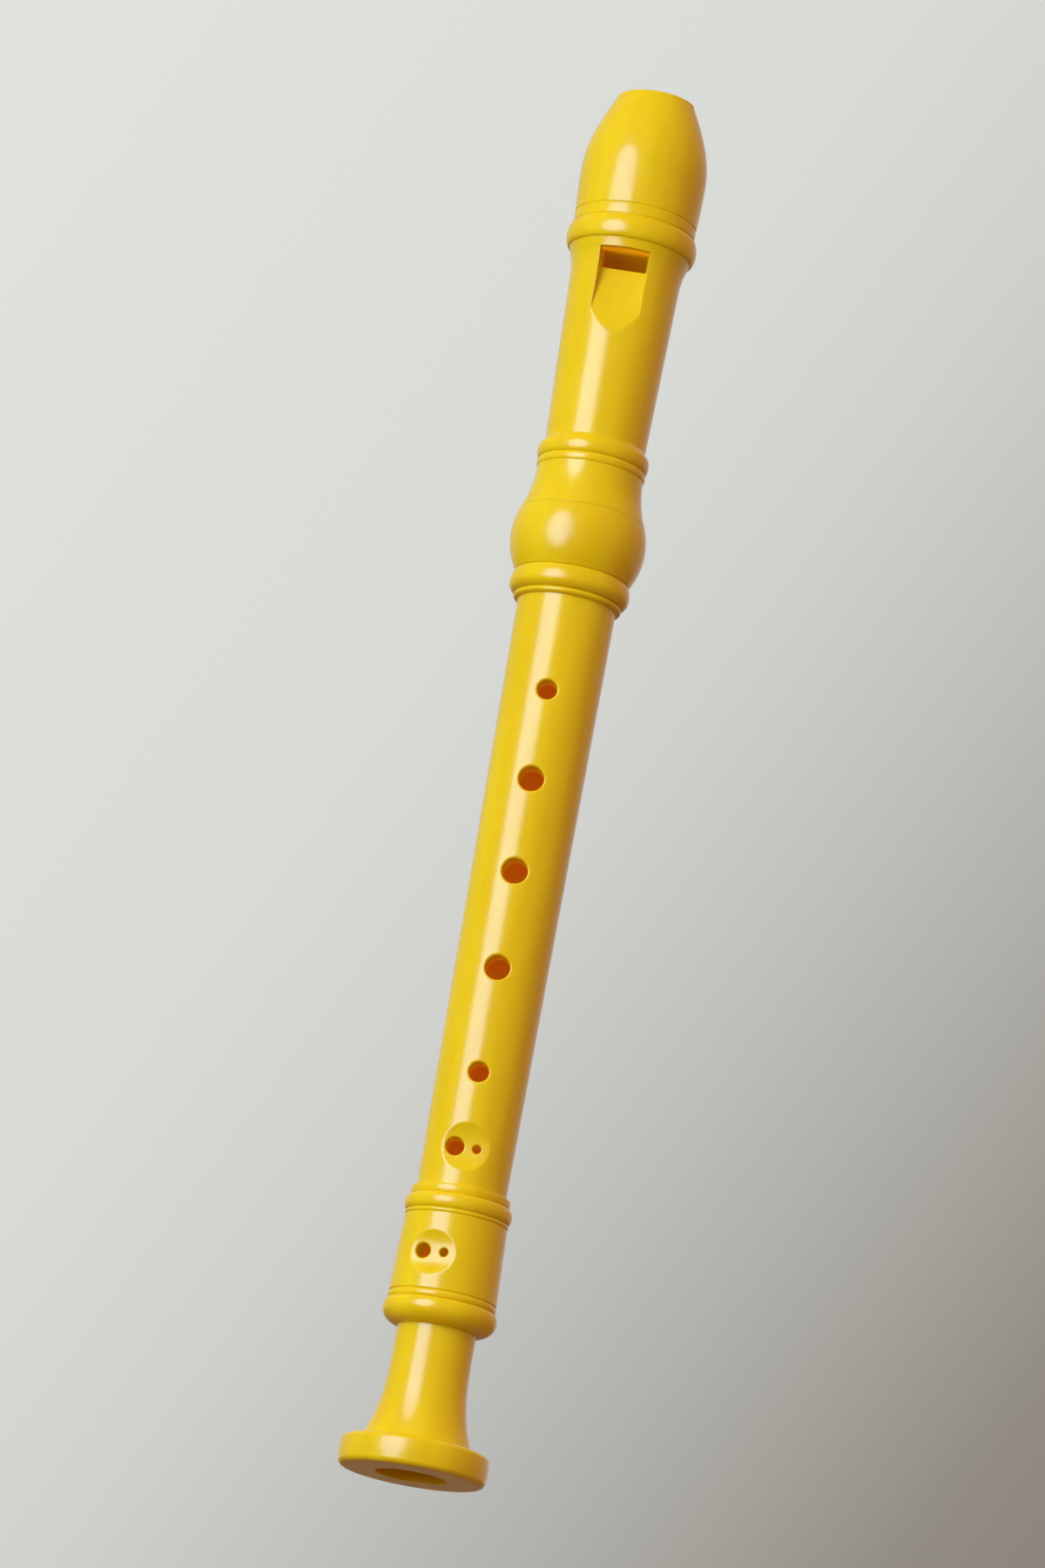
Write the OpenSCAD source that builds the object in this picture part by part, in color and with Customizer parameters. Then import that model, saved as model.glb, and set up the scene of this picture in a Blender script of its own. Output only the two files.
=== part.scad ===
// Soprano recorder in the baroque style: head, middle and foot joints on turned tenons.
// It stands on the foot's bell at z = 0. The finger holes face -Y and the thumb hole faces +Y.
// Every outline is a list of [radius, height] points that runs upward.

/* [Foot joint] */
// Height of the foot joint, from the bell's flat face to the top of its socket
foot_h = 65.3; // [60:0.1:80]
// Radius of the bell
bell_r = 17; // [15:0.1:20.5]
// Height of the bell's rim
bell_rim_h = 6.9; // [5:0.1:9]
// Radius of the bell's rounded edges
bell_edge_r = 1.4; // [0.8:0.1:2]
// Radius of the straight part of the neck
neck_r = 9; // [8.9:0.1:10.8]
// Radius of the neck's flare where it meets the bell
neck_flare_r = 12.8; // [11.5:0.1:14]
// Length of the straight part of the neck
neck_straight_h = 3.3; // [2:0.1:5]
// Radius of the large ring under the barrel
foot_ring_r = 13.1; // [12.5:0.1:15.7]
// Height of the large ring under the barrel
foot_ring_h = 5.6; // [4.5:0.1:6.7]
// Radius of the barrel at its lower end
barrel_low_r = 12.35; // [12:0.05:13]
// Radius of the barrel at its upper end
barrel_top_r = 11.72; // [11.2:0.01:12.5]
// Height of the barrel between its rings
barrel_h = 17.9; // [15:0.1:21.4]
// Radius of the ring around the socket
socket_ring_r = 12.3; // [12:0.05:14]
// Turn of the foot on its tenon, away from the line of the finger holes
foot_turn = -16; // [-40:1:40]

/* [Middle joint] */
// Length of the middle joint between its two shoulders
middle_h = 146.6; // [130:0.1:176]
// Radius of the tube at its lower end
tube_low_r = 10.25; // [9.9:0.05:10.9]
// Radius of the tube at its upper end
tube_top_r = 11.45; // [11:0.05:12]
// Radius of the ring under the bulb
collar_ring_r = 14; // [13.2:0.05:15.5]
// Height of the ring under the bulb
collar_ring_h = 5.3; // [4.4:0.1:6.4]

/* [Head joint] */
// Length of the head joint, from the bulb's lower face to the tip of the beak
head_h = 118.1; // [110:0.1:140]
// Largest radius of the bulb
bulb_r = 15.75; // [15:0.05:17]
// Radius of the bulb's rounded side
bulb_arc_r = 16.6; // [15.5:0.1:20]
// Height of the bulb's sleeve
bulb_h = 14.6; // [12.2:0.1:17.5]
// Length of the flare above the bulb
bulb_flare_h = 10.8; // [8:0.1:13]
// Radius of the ring above the bulb
head_ring_r = 13.1; // [12.8:0.05:14.5]
// Radius of the head tube just above its ring
head_low_r = 11.75; // [11.3:0.05:12.2]
// Radius of the head tube below the mouthpiece
head_top_r = 12.85; // [12.4:0.05:13.2]
// Radius of the mouthpiece's ring
mouth_ring_r = 15.35; // [14.9:0.05:17]
// Height of the mouthpiece's ring
mouth_ring_h = 5.5; // [4.6:0.1:6.6]

/* [Beak] */
// Length of the mouthpiece, from its lower edge to the tip
mouth_h = 40.6; // [38:0.1:48]
// Largest radius of the mouthpiece above its ring
beak_belly_r = 14.75; // [14.4:0.05:16]
// Radius of the tip
beak_tip_r = 9.6; // [9.5:0.05:11]
// Thickness of the tip from front to back
beak_tip_t = 6.8; // [6.6:0.1:8]
// Radius of the hollow at the back of the beak
beak_hollow_r = 30; // [26:0.5:36]

/* [Windway and window] */
// Width of the windway and of the labium's edge
windway_w = 10.3; // [8.6:0.1:10.5]
// Height of the windway where it opens over the window
windway_exit_h = 1.2; // [1:0.05:1.4]
// Height of the windway at the tip
windway_entry_h = 1.5; // [1.2:0.05:1.6]
// Distance from the axis to the windway's roof at its exit
windway_roof_y = 8.9; // [8.8:0.05:9]
// Drop of the windway towards the axis, from its exit to the tip
windway_drop = 1.6; // [1.4:0.05:1.8]
// Height of the window, from the labium's edge to the mouthpiece
window_h = 4.2; // [3.6:0.1:5]
// Width of the window's mouth at the surface
window_mouth_w = 12.2; // [11.4:0.1:12.8]
// Distance from the axis to the labium's edge
labium_y = 8.5; // [8.3:0.05:8.6]
// Thickness of the labium's edge
labium_t = 0.4; // [0.3:0.05:0.6]
// Length of the labium's ramp
ramp_h = 16; // [13.4:0.1:19.2]

/* [Bore, tenons and sockets] */
// Radius of the bore in the head
head_bore_r = 6.75; // [6.4:0.05:7]
// Radius of the bore at the top of the middle joint
bore_top_r = 6.5; // [5.8:0.05:6.8]
// Radius of the bore at the bottom of the middle joint
bore_low_r = 5; // [4.6:0.05:5.6]
// Radius of the foot's mouth
mouth_bore_r = 8.1; // [7.4:0.05:8.4]
// Depth of the straight part of the foot's mouth
mouth_bore_h = 8; // [5:0.1:10]
// Radius of the upper tenon's bands
top_tenon_r = 9.6; // [8:0.05:10.2]
// Length of the upper tenon
top_tenon_h = 21; // [12:0.1:24]
// Radius of the lower tenon's bands
low_tenon_r = 8.6; // [7.2:0.05:9.4]
// Length of the lower tenon
low_tenon_h = 12; // [8:0.1:12.4]
// Depth of the tenon's waist under its bands
tenon_relief = 0.3; // [0.1:0.05:0.5]
// Running clearance between a tenon's bands and its socket
tenon_gap = 0.05; // [0.02:0.01:0.1]
// Space left past the end of a tenon
tenon_end_gap = 0.5; // [0.2:0.1:0.8]

/* [Finger holes] */
// Heights of holes 1 to 5 above the middle joint's lower shoulder
hole_z = [116.9, 95.6, 73.7, 50.9, 26.4];
// Diameters of holes 1 to 5
hole_d = [4.6, 5.8, 5.9, 5.7, 4.6];
// Height of the double hole 6 above the lower shoulder
pair6_z = 9; // [7:0.1:12]
// Diameter of the larger of holes 6
pair6_large_d = 4.2; // [3.4:0.1:4.6]
// Height of the double hole 7 above the barrel's lower end
pair7_z = 8.8; // [7:0.1:9.4]
// Diameter of the larger of holes 7
pair7_large_d = 3.4; // [2.6:0.1:4]
// Diameter of the smaller hole of each pair
pair_small_d = 2; // [1.6:0.1:2.4]
// Distance between the two holes of a pair
pair_pitch = 5; // [4.4:0.1:5.4]
// Radius of the finger hollow around a pair
hollow_r = 10.7; // [9:0.1:13]
// Depth of the finger hollow
hollow_depth = 1.4; // [0.8:0.1:1.6]
// Height of the thumb hole above the lower shoulder
thumb_z = 128.4; // [110:0.1:132]
// Diameter of the thumb hole
thumb_d = 5.2; // [4.5:0.1:6.5]

/* [Hidden] */
$fn = 96;
shell_color = "gold";
eps = 0.01;
past = 1;
arc_steps = 8;
curve_steps = 14;

// Heights of the three joints and of the mouthpiece's lower edge
middle_z = foot_h;
head_z = middle_z + middle_h;
tip_z = head_z + head_h;
seam_z = tip_z - mouth_h;

// Heights on the foot joint
small_bead_h = 1.6;
socket_bead_h = 1.1;
socket_ring_h = 3.6;
socket_lip_h = 2;
socket_rings_h = socket_bead_h + socket_ring_h + socket_lip_h;
barrel_top_z = foot_h - socket_rings_h;
barrel_z = barrel_top_z - barrel_h;
foot_ring_top_z = barrel_z - small_bead_h;
foot_ring_z = foot_ring_top_z - foot_ring_h;
foot_ring_crest = 0.63;
bead_depth = 0.3;
lip_step = 0.6;

// Heights on the middle joint
collar_bead_h = 1.5;
collar_ring_z = head_z - collar_ring_h;
collar_bead_z = collar_ring_z - collar_bead_h;
collar_crest = 0.43;
collar_step = 0.6;
collar_bead_rise = 1.15;
collar_shoulder = 1.1;

// Heights and radii on the head joint
bulb_belly_h = 0.6 * bulb_h;
bulb_seam_z = head_z + bulb_h;
flare_top_z = bulb_seam_z + bulb_flare_h;
head_bead_h = 2.1;
head_ring_h = 3.7;
head_fillet_h = 1;
head_ring_z = flare_top_z + head_bead_h;
head_ring_top_z = head_ring_z + head_ring_h;
head_tube_z = head_ring_top_z + head_fillet_h;
flare_top_r = head_low_r + 0.7;
ring_root_r = head_low_r + 0.55;
sleeve_r = top_tenon_r + 2.8;

// The cove that widens the tube into the mouthpiece's ring
cove_h = 7.5;
mouth_ring_z = seam_z + 2.1;
cove_z = mouth_ring_z - cove_h;
cove_top_r = mouth_ring_r - 1.15;
mouth_crest = 0.5;
band_h = 3;
band_z = mouth_ring_z + mouth_ring_h;
barrel_mouth_z = band_z + band_h;
band_r = beak_belly_r - 0.4;
groove_w = 0.5;
groove_depth = 0.25;
belly_h = 11.2;
belly_z = barrel_mouth_z + belly_h;
tip_edge_r = 0.9;

// The block, the spigot that holds the mouthpiece, and the windway
block_r = 9.4;
spigot_r = block_r + 2;
spigot_h = 8;
spigot_key_w = windway_w + 2.8;
block_cover = 1.8;
tip_cover = 2.5;
block_top_z = tip_z - tip_cover;
floor_exit_y = windway_roof_y - windway_exit_h;
floor_tip_y = windway_roof_y - windway_drop - windway_entry_h;
roof_tip_y = windway_roof_y - windway_drop;
beak_rise = 2;
beak_back_y = beak_tip_r - beak_tip_t;
beak_axis_y = -beak_back_y + sqrt(pow(beak_hollow_r, 2) - pow(beak_rise, 2));
beak_axis_z = tip_z + beak_rise;

// The window and the labium
labium_z = seam_z - window_h;
ramp_z = labium_z - ramp_h;
ramp_slope = (tube_r(ramp_z) - labium_y) / ramp_h;
undercut_h = 6;
undercut_y = head_bore_r - 0.3;

// Sockets and bores
top_socket_z = head_z + top_tenon_h + tenon_end_gap;
low_socket_z = foot_h - low_tenon_h - tenon_end_gap;
tenon_band_h = 3;
foot_bore_r = bore_low_r;
foot_bore_z = low_socket_z - 8;

// Finger holes
pair6_hollow_d = hollow_depth + 0.1;
pair7_hollow_d = hollow_depth - 0.1;

// Quarter of an oval from p to q, flat at p and upright at q
function swell(p, q) = [
    for (i = [0:arc_steps])
        let (a = 90 * i / arc_steps)
        [p[0] + (q[0] - p[0]) * sin(a), q[1] - (q[1] - p[1]) * cos(a)]
];

// Quarter of an oval from p to q, upright at p and flat at q
function tuck(p, q) = [
    for (i = [0:arc_steps])
        let (a = 90 * i / arc_steps)
        [q[0] - (q[0] - p[0]) * cos(a), p[1] + (q[1] - p[1]) * sin(a)]
];

// A ring from p to q that bulges out to the radius r at the share crest of its height
function ring(p, q, r, crest = 0.5) =
    let (top = [r, p[1] + (q[1] - p[1]) * crest])
    concat(swell(p, top), tuck(top, q));

// A hollow curve from p to q that leaves p at its steepest and ends upright at q
function flare(p, q, power) = [
    for (i = [0:curve_steps])
        let (u = i / curve_steps)
        [q[0] + (p[0] - q[0]) * pow(1 - u, power), p[1] + (q[1] - p[1]) * u]
];

// A fine groove around a piece at height z
function groove(r, z) = [[r, z - groove_w / 2], [r - groove_depth, z], [r, z + groove_w / 2]];

// Radius of the middle joint's tube at height z
function middle_r(z) = tube_low_r + (tube_top_r - tube_low_r) * (z - middle_z) / (collar_bead_z - middle_z);

// Radius of the foot's barrel at height z
function barrel_r(z) = barrel_low_r + (barrel_top_r - barrel_low_r) * (z - barrel_z) / barrel_h;

// Radius of the head's straight tube at height z
function tube_r(z) = head_low_r + (head_top_r - head_low_r) * (z - head_tube_z) / (cove_z - head_tube_z);

// Radius of the cove at height z
function cove_r(z) = head_top_r + (cove_top_r - head_top_r) * pow((z - cove_z) / cove_h, 2);

// Radius of the bulb at the height z above the head's lower face
function bulb_side_r(z) = bulb_r - bulb_arc_r + sqrt(pow(bulb_arc_r, 2) - pow(z - bulb_belly_h, 2));

// Part of the cove between two heights
function cove(low, high) = [
    for (i = [0:arc_steps])
        let (z = low + (high - low) * i / arc_steps)
        [cove_r(z), z]
];

// The beak's taper from its belly to the tip's rounded edge
function beak_taper() =
    let (rise = tip_z - tip_edge_r - belly_z)
    [
        for (i = [0:curve_steps])
            let (u = i / curve_steps)
            [beak_belly_r - (beak_belly_r - beak_tip_r) * (5 * pow(u, 2) - pow(u, 4)) / 4, belly_z + rise * u]
    ];

foot_outline = concat(
    [[0, 0]],
    swell([bell_r - bell_edge_r, 0], [bell_r, bell_edge_r]),
    tuck([bell_r, bell_rim_h - bell_edge_r], [bell_r - bell_edge_r, bell_rim_h]),
    flare([neck_flare_r, bell_rim_h + eps], [neck_r, foot_ring_z - neck_straight_h], 3),
    ring([neck_r, foot_ring_z], [barrel_low_r - bead_depth, foot_ring_top_z], foot_ring_r, foot_ring_crest),
    ring(
        [barrel_low_r - bead_depth, foot_ring_top_z + eps],
        [barrel_low_r - bead_depth, barrel_z],
        barrel_low_r + bead_depth / 3
    ),
    [[barrel_low_r, barrel_z + bead_depth], [barrel_top_r, barrel_top_z]],
    ring(
        [barrel_top_r - bead_depth, barrel_top_z + eps],
        [barrel_top_r - bead_depth, barrel_top_z + socket_bead_h],
        barrel_top_r + bead_depth / 2
    ),
    ring(
        [barrel_top_r - bead_depth, barrel_top_z + socket_bead_h + eps],
        [barrel_top_r - lip_step, foot_h - socket_lip_h],
        socket_ring_r
    ),
    ring(
        [barrel_top_r - lip_step, foot_h - socket_lip_h + eps],
        [barrel_top_r - lip_step, foot_h],
        barrel_top_r - bead_depth
    ),
    [[0, foot_h]]
);

middle_outline = concat(
    [[0, middle_z], [tube_low_r, middle_z], [tube_top_r, collar_bead_z]],
    ring(
        [tube_top_r, collar_bead_z + eps],
        [tube_top_r + collar_step, collar_ring_z],
        tube_top_r + collar_bead_rise
    ),
    ring(
        [tube_top_r + collar_step, collar_ring_z + eps],
        [collar_ring_r - collar_shoulder, head_z],
        collar_ring_r,
        collar_crest
    ),
    [[0, head_z]]
);

bulb_outline = concat(
    [[0, head_z]],
    [
        for (i = [0:curve_steps])
            let (z = bulb_h * i / curve_steps)
            [bulb_side_r(z), head_z + z]
    ],
    [[0, bulb_seam_z]]
);

head_outline = concat(
    [[0, head_z], [sleeve_r, head_z], [sleeve_r, bulb_seam_z]],
    flare([bulb_side_r(bulb_h), bulb_seam_z + eps], [flare_top_r, flare_top_z], 2),
    ring([ring_root_r, flare_top_z + eps], [ring_root_r, head_ring_z], flare_top_r + bead_depth),
    ring([ring_root_r, head_ring_z + eps], [ring_root_r, head_ring_top_z], head_ring_r),
    [[head_low_r, head_tube_z]],
    cove(cove_z, seam_z),
    [[0, seam_z]]
);

mouth_outline = concat(
    [[0, seam_z]],
    cove(seam_z, mouth_ring_z),
    ring([cove_top_r, mouth_ring_z + eps], [band_r, band_z], mouth_ring_r, mouth_crest),
    groove(band_r, band_z + groove_w / 2 + eps),
    groove(band_r, barrel_mouth_z),
    [
        for (i = [1:arc_steps])
            let (u = i / arc_steps)
            [beak_belly_r - (beak_belly_r - band_r) * pow(1 - u, 2), barrel_mouth_z + groove_w + (belly_h - groove_w) * u]
    ],
    [for (p = beak_taper()) if (p[1] > belly_z + eps) p],
    tuck([beak_tip_r - eps, tip_z - tip_edge_r], [beak_tip_r - tip_edge_r, tip_z]),
    [[0, tip_z]]
);

// Turns an outline around the recorder's axis
module turned(outline) {
    rotate_extrude()
        polygon(outline);
}

// A flat prism across the recorder, from an outline of [depth in front of the axis, height]
module across(w, outline) {
    translate([-w / 2, 0, 0])
        rotate([90, 0, 90])
            linear_extrude(w)
                polygon([for (p = outline) [-p[0], p[1]]]);
}

// A hole of diameter d from the front surface at height z into the bore
module front_hole(x, z, d, reach) {
    translate([x, 0, z])
        rotate([90, 0, 0])
            cylinder(d = d, h = reach);
}

// The hollow that a finger rests in, across the front of a tube of radius r
module finger_hollow(r, z, depth) {
    translate([-r, -(r - depth + hollow_r), z])
        rotate([0, 90, 0])
            cylinder(r = hollow_r, h = 2 * r);
}

// A double hole with its larger hole on the left
module hole_pair(z, large_d, reach) {
    front_hole(-pair_pitch / 2, z, large_d, reach);
    front_hole(pair_pitch / 2, z, pair_small_d, reach);
}

// A tenon with two friction bands and a waist between them, from z over the height h
module tenon(r, z, h) {
    translate([0, 0, z])
        cylinder(r = r - tenon_relief, h = h);
    for (band_z = [z, z + h - tenon_band_h])
        translate([0, 0, band_z])
            cylinder(r = r, h = tenon_band_h);
}

// The straight channel between the mouthpiece's roof and the block's floor
module windway() {
    across(windway_w, [
        [floor_exit_y, seam_z],
        [windway_roof_y, seam_z],
        [roof_tip_y, tip_z],
        [floor_tip_y, tip_z]
    ]);
}

// The hollow under the back of the beak, as a roller across it
module beak_hollow(cover) {
    translate([-bulb_r, beak_axis_y, beak_axis_z])
        rotate([0, 90, 0])
            cylinder(r = beak_hollow_r + cover, h = 2 * bulb_r);
}

// The window's recess: upright tapered sides over the labium's sloping face
module window_recess() {
    reach = mouth_ring_r + past;
    mouth_out = window_mouth_w / 2;
    edge_out = windway_w / 2;
    top_z = seam_z + past;
    low_z = ramp_z - past;
    intersection() {
        translate([0, 0, low_z])
            linear_extrude(top_z - low_z)
                polygon([[-edge_out, -labium_y], [-mouth_out, -tube_r(seam_z)], [-mouth_out, -reach],
                    [mouth_out, -reach], [mouth_out, -tube_r(seam_z)], [edge_out, -labium_y]]);
        across(4 * mouth_out, [
            [labium_y, top_z],
            [labium_y, labium_z],
            [labium_y + ramp_slope * (ramp_h + past), low_z],
            [reach + past, low_z],
            [reach + past, top_z]
        ]);
    }
}

// The opening over the labium's edge, and the cut that thins the edge from inside
module window_opening() {
    edge_y = labium_y - labium_t;
    across(windway_w, [
        [0, labium_z - undercut_h],
        [undercut_y, labium_z - undercut_h],
        [edge_y, labium_z],
        [mouth_ring_r + past, labium_z],
        [mouth_ring_r + past, seam_z + spigot_h + past],
        [0, seam_z + spigot_h + past]
    ]);
}

// The ring of the head tube that enters the mouthpiece, open at the front for the windway's roof
module spigot(grow) {
    difference() {
        translate([0, 0, seam_z])
            cylinder(r = spigot_r, h = spigot_h + grow);
        translate([0, 0, seam_z - past])
            cylinder(r = block_r, h = spigot_h + 2 * past);
        translate([-spigot_key_w / 2, -spigot_r - past, seam_z - past])
            cube([spigot_key_w, spigot_r + past, spigot_h + grow + 2 * past]);
    }
}

module foot_joint() {
    color(shell_color)
        rotate([0, 0, foot_turn])
            difference() {
                turned(foot_outline);
                translate([0, 0, -past])
                    cylinder(r = mouth_bore_r, h = mouth_bore_h + past);
                translate([0, 0, mouth_bore_h - eps])
                    cylinder(r1 = mouth_bore_r, r2 = foot_bore_r, h = foot_bore_z - mouth_bore_h + eps);
                translate([0, 0, foot_bore_z - eps])
                    cylinder(r = foot_bore_r, h = low_socket_z - foot_bore_z + past);
                translate([0, 0, low_socket_z])
                    cylinder(r = low_tenon_r + tenon_gap, h = foot_h - low_socket_z + past);
                finger_hollow(barrel_r(barrel_z + pair7_z), barrel_z + pair7_z, pair7_hollow_d);
                hole_pair(barrel_z + pair7_z, pair7_large_d, bell_r);
            }
}

module middle_joint() {
    low_end = middle_z - low_tenon_h;
    top_end = head_z + top_tenon_h;
    color(shell_color)
        difference() {
            union() {
                turned(middle_outline);
                tenon(low_tenon_r, low_end, low_tenon_h + eps);
                tenon(top_tenon_r, head_z - eps, top_tenon_h + eps);
            }
            translate([0, 0, low_end - eps])
                cylinder(r1 = bore_low_r, r2 = bore_top_r, h = top_end - low_end + 2 * eps);
            for (i = [0:len(hole_z) - 1])
                front_hole(0, middle_z + hole_z[i], hole_d[i], collar_ring_r);
            finger_hollow(middle_r(middle_z + pair6_z), middle_z + pair6_z, pair6_hollow_d);
            hole_pair(middle_z + pair6_z, pair6_large_d, collar_ring_r);
            mirror([0, 1, 0])
                front_hole(0, middle_z + thumb_z, thumb_d, collar_ring_r);
        }
}

module head_tube() {
    color(shell_color)
        difference() {
            union() {
                turned(head_outline);
                spigot(0);
            }
            translate([0, 0, top_socket_z - past])
                cylinder(r = head_bore_r, h = seam_z - top_socket_z + 2 * past);
            translate([0, 0, head_z - past])
                cylinder(r = top_tenon_r + tenon_gap, h = top_socket_z - head_z + past);
            window_recess();
            window_opening();
        }
}

module socket_bulb() {
    color(shell_color)
        difference() {
            turned(bulb_outline);
            translate([0, 0, head_z - past])
                cylinder(r = sleeve_r, h = bulb_h + 2 * past);
        }
}

module block() {
    color(shell_color)
        difference() {
            translate([0, 0, seam_z])
                cylinder(r = block_r, h = block_top_z - seam_z);
            across(4 * block_r, [
                [floor_exit_y, seam_z],
                [floor_exit_y + past, seam_z - past],
                [4 * block_r, seam_z - past],
                [4 * block_r, tip_z],
                [floor_tip_y, tip_z]
            ]);
            beak_hollow(block_cover);
        }
}

module mouthpiece() {
    color(shell_color)
        difference() {
            turned(mouth_outline);
            beak_hollow(0);
            windway();
            block();
            spigot(tenon_end_gap);
        }
}

foot_joint();
middle_joint();
head_tube();
socket_bulb();
block();
mouthpiece();
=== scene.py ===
"""Looks of the soprano recorder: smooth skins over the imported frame, one yellow plastic, studio light.

Lengths inside the builders are millimetres and are scaled once, when a skin becomes a mesh.
Angles round the axis start at the front (-Y) and grow towards +X. "Depth" is the distance in front
of the axis, so a point at depth d has y = -d.
"""

import math

import bpy
import numpy as np
from mathutils import Matrix, Vector
from mathutils.geometry import delaunay_2d_cdt


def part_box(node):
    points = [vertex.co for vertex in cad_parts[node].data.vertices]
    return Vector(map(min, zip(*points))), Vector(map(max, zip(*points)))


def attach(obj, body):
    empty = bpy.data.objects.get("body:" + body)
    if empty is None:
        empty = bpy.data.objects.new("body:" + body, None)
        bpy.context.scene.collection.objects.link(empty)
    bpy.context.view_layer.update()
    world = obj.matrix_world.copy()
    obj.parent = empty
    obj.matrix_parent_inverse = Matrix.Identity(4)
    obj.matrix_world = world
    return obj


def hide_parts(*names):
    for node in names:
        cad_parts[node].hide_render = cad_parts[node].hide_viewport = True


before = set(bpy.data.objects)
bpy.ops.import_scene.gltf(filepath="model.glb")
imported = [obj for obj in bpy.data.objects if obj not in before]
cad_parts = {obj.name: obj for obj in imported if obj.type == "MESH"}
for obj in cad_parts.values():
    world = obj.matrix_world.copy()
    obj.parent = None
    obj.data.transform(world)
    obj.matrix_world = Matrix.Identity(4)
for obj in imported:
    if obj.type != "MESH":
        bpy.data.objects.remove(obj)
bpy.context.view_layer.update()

MM = 0.001
# Points round a turned surface, and the grid on which neighbouring patches share their points, with a
# shift that keeps round numbers off its lines
COLUMNS = 288
WELD = 2e-4
WELD_SHIFT = 0.37


def heights(node):
    """Heights of a CAD node's lowest and highest points, in millimetres."""
    return [round(corner.z / MM, 3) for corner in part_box(node)]


# Heights taken from the frame
MIDDLE_Z = heights("foot_joint")[1]
HEAD_Z, BULB_TOP_Z = heights("socket_bulb")
SEAM_Z, TIP_Z = heights("mouthpiece")
TENON_LOW_Z, TENON_TOP_Z = heights("middle_joint")
BLOCK_TOP_Z = heights("block")[1]

# Rounded edges that moulded plastic has
EDGE = 0.25
FINE_EDGE = 0.12
# Bends that are sharp enough to be rounded, and to part two patches
SHARP = math.radians(16)
CREASE = math.radians(22)
# Longer sides than this get extra points this near their ends, so that they shade evenly
LONG_SIDE = 1.2
GUARD = 0.15
# How far a small bead beside a ring is sunk at its foot
BEAD = 0.3

# Foot joint: radii, and heights stepped down from its upper end
BELL_R = 17.0
BELL_RIM_H = 6.9
BELL_EDGE = 1.4
BELL_INSET = 1.6
RIM_CROWN = 0.14
NECK_R = 9.0
NECK_FLARE_R = 12.8
BARREL_LOW_R = 12.35
BARREL_TOP_R = 11.72
FOOT_RING_R = 13.1
FOOT_RING_CREST = 0.63
SOCKET_RING_R = 12.3
SOCKET_LIP_R = BARREL_TOP_R - 0.6
SOCKET_LIP_Z = MIDDLE_Z - 2.0
SOCKET_RING_Z = SOCKET_LIP_Z - 3.6
BARREL_TOP_Z = SOCKET_RING_Z - 1.1
BARREL_Z = BARREL_TOP_Z - 17.9
FOOT_RING_TOP_Z = BARREL_Z - 1.6
FOOT_RING_Z = FOOT_RING_TOP_Z - 5.6
NECK_TOP_Z = FOOT_RING_Z - 3.3
MOUTH_BORE_R = 8.1
MOUTH_BORE_H = 8.0
LOW_SOCKET_R = 8.65
LOW_SOCKET_Z = TENON_LOW_Z - 0.5
FOOT_BORE_Z = LOW_SOCKET_Z - 8.0
FOOT_TURN = -16.0

# Middle joint: the tube, its collar, the tenons and the tapered bore
TUBE_LOW_R = 10.25
TUBE_TOP_R = 11.45
COLLAR_RING_R = 14.0
COLLAR_CREST = 0.43
COLLAR_STEP = 0.6
COLLAR_BEAD_RISE = 1.15
COLLAR_SHOULDER = 1.1
COLLAR_RING_Z = HEAD_Z - 5.3
COLLAR_Z = COLLAR_RING_Z - 1.5
LOW_TENON_R = 8.6
TOP_TENON_R = 9.6
TENON_BAND_H = 2.9
TENON_WAIST = 0.3
BORE_LOW_R = 5.0
BORE_TOP_R = 6.5

# Holes of the middle joint: heights above its lower shoulder, and diameters
FRONT_HOLES = ((116.9, 4.6), (95.6, 5.8), (73.7, 5.9), (50.9, 5.7), (26.4, 4.6))
THUMB_HOLE = (128.4, 5.2)
# Double holes: height, radius of the large hole, depth of the finger hollow; then what both share
PAIR_SIX = (MIDDLE_Z + 9.0, 2.1, 1.5)
PAIR_SEVEN = (BARREL_Z + 8.8, 1.7, 1.3)
PAIR_SMALL_R = 1.0
PAIR_X = 2.5
HOLLOW_R = 10.7
HOLLOW_EDGE = 0.18
# Patches of a tube that hold holes: margin over and under the hole, and columns to each side
HOLLOW_PATCH = (6.2, 36)
PAIR_BORE_PATCH = (3.0, 64)
HOLE_PATCH = (1.9, 26)
HOLE_BORE_PATCH = (1.0, 40)
PATCH_ROW = 0.8
# Plain stretches kept at both ends of a drilled tube or bore
MIDDLE_ENDS = (1.2, 2.0)
MIDDLE_BORE_ENDS = (2.0, 2.0)
FOOT_ENDS = (1.8, 1.6)
FOOT_BORE_ENDS = (0.8, 0.4)
# Spacing of the points in a patch, two circles of them round a rim, and the rest's distance from it
LATTICE = 0.25
RIM_GAPS = (0.2, 0.45)
RIM_CLEAR = 0.65

# Bulb, and the head tube up to the mouthpiece
BULB_R = 15.75
BULB_ARC_R = 16.6
BULB_BELLY_Z = HEAD_Z + 8.76
BULB_BORE_R = 12.42
SLEEVE_R = 12.4
TOP_SOCKET_R = 9.65
TOP_SOCKET_Z = TENON_TOP_Z + 0.5
FLARE_LOW_R = 14.69
FLARE_TOP_R = 12.45
FLARE_TOP_Z = BULB_TOP_Z + 10.8
HEAD_ROOT_R = 12.3
HEAD_RING_R = 13.1
HEAD_RING_Z = FLARE_TOP_Z + 2.1
HEAD_RING_TOP_Z = HEAD_RING_Z + 3.7
HEAD_LOW_R = 11.75
HEAD_TOP_R = 12.85
HEAD_TUBE_Z = HEAD_RING_TOP_Z + 1.0
COVE_Z = SEAM_Z - 5.4
COVE_H = 7.5
COVE_RISE = 1.35
HEAD_BORE_R = 6.75

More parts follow.
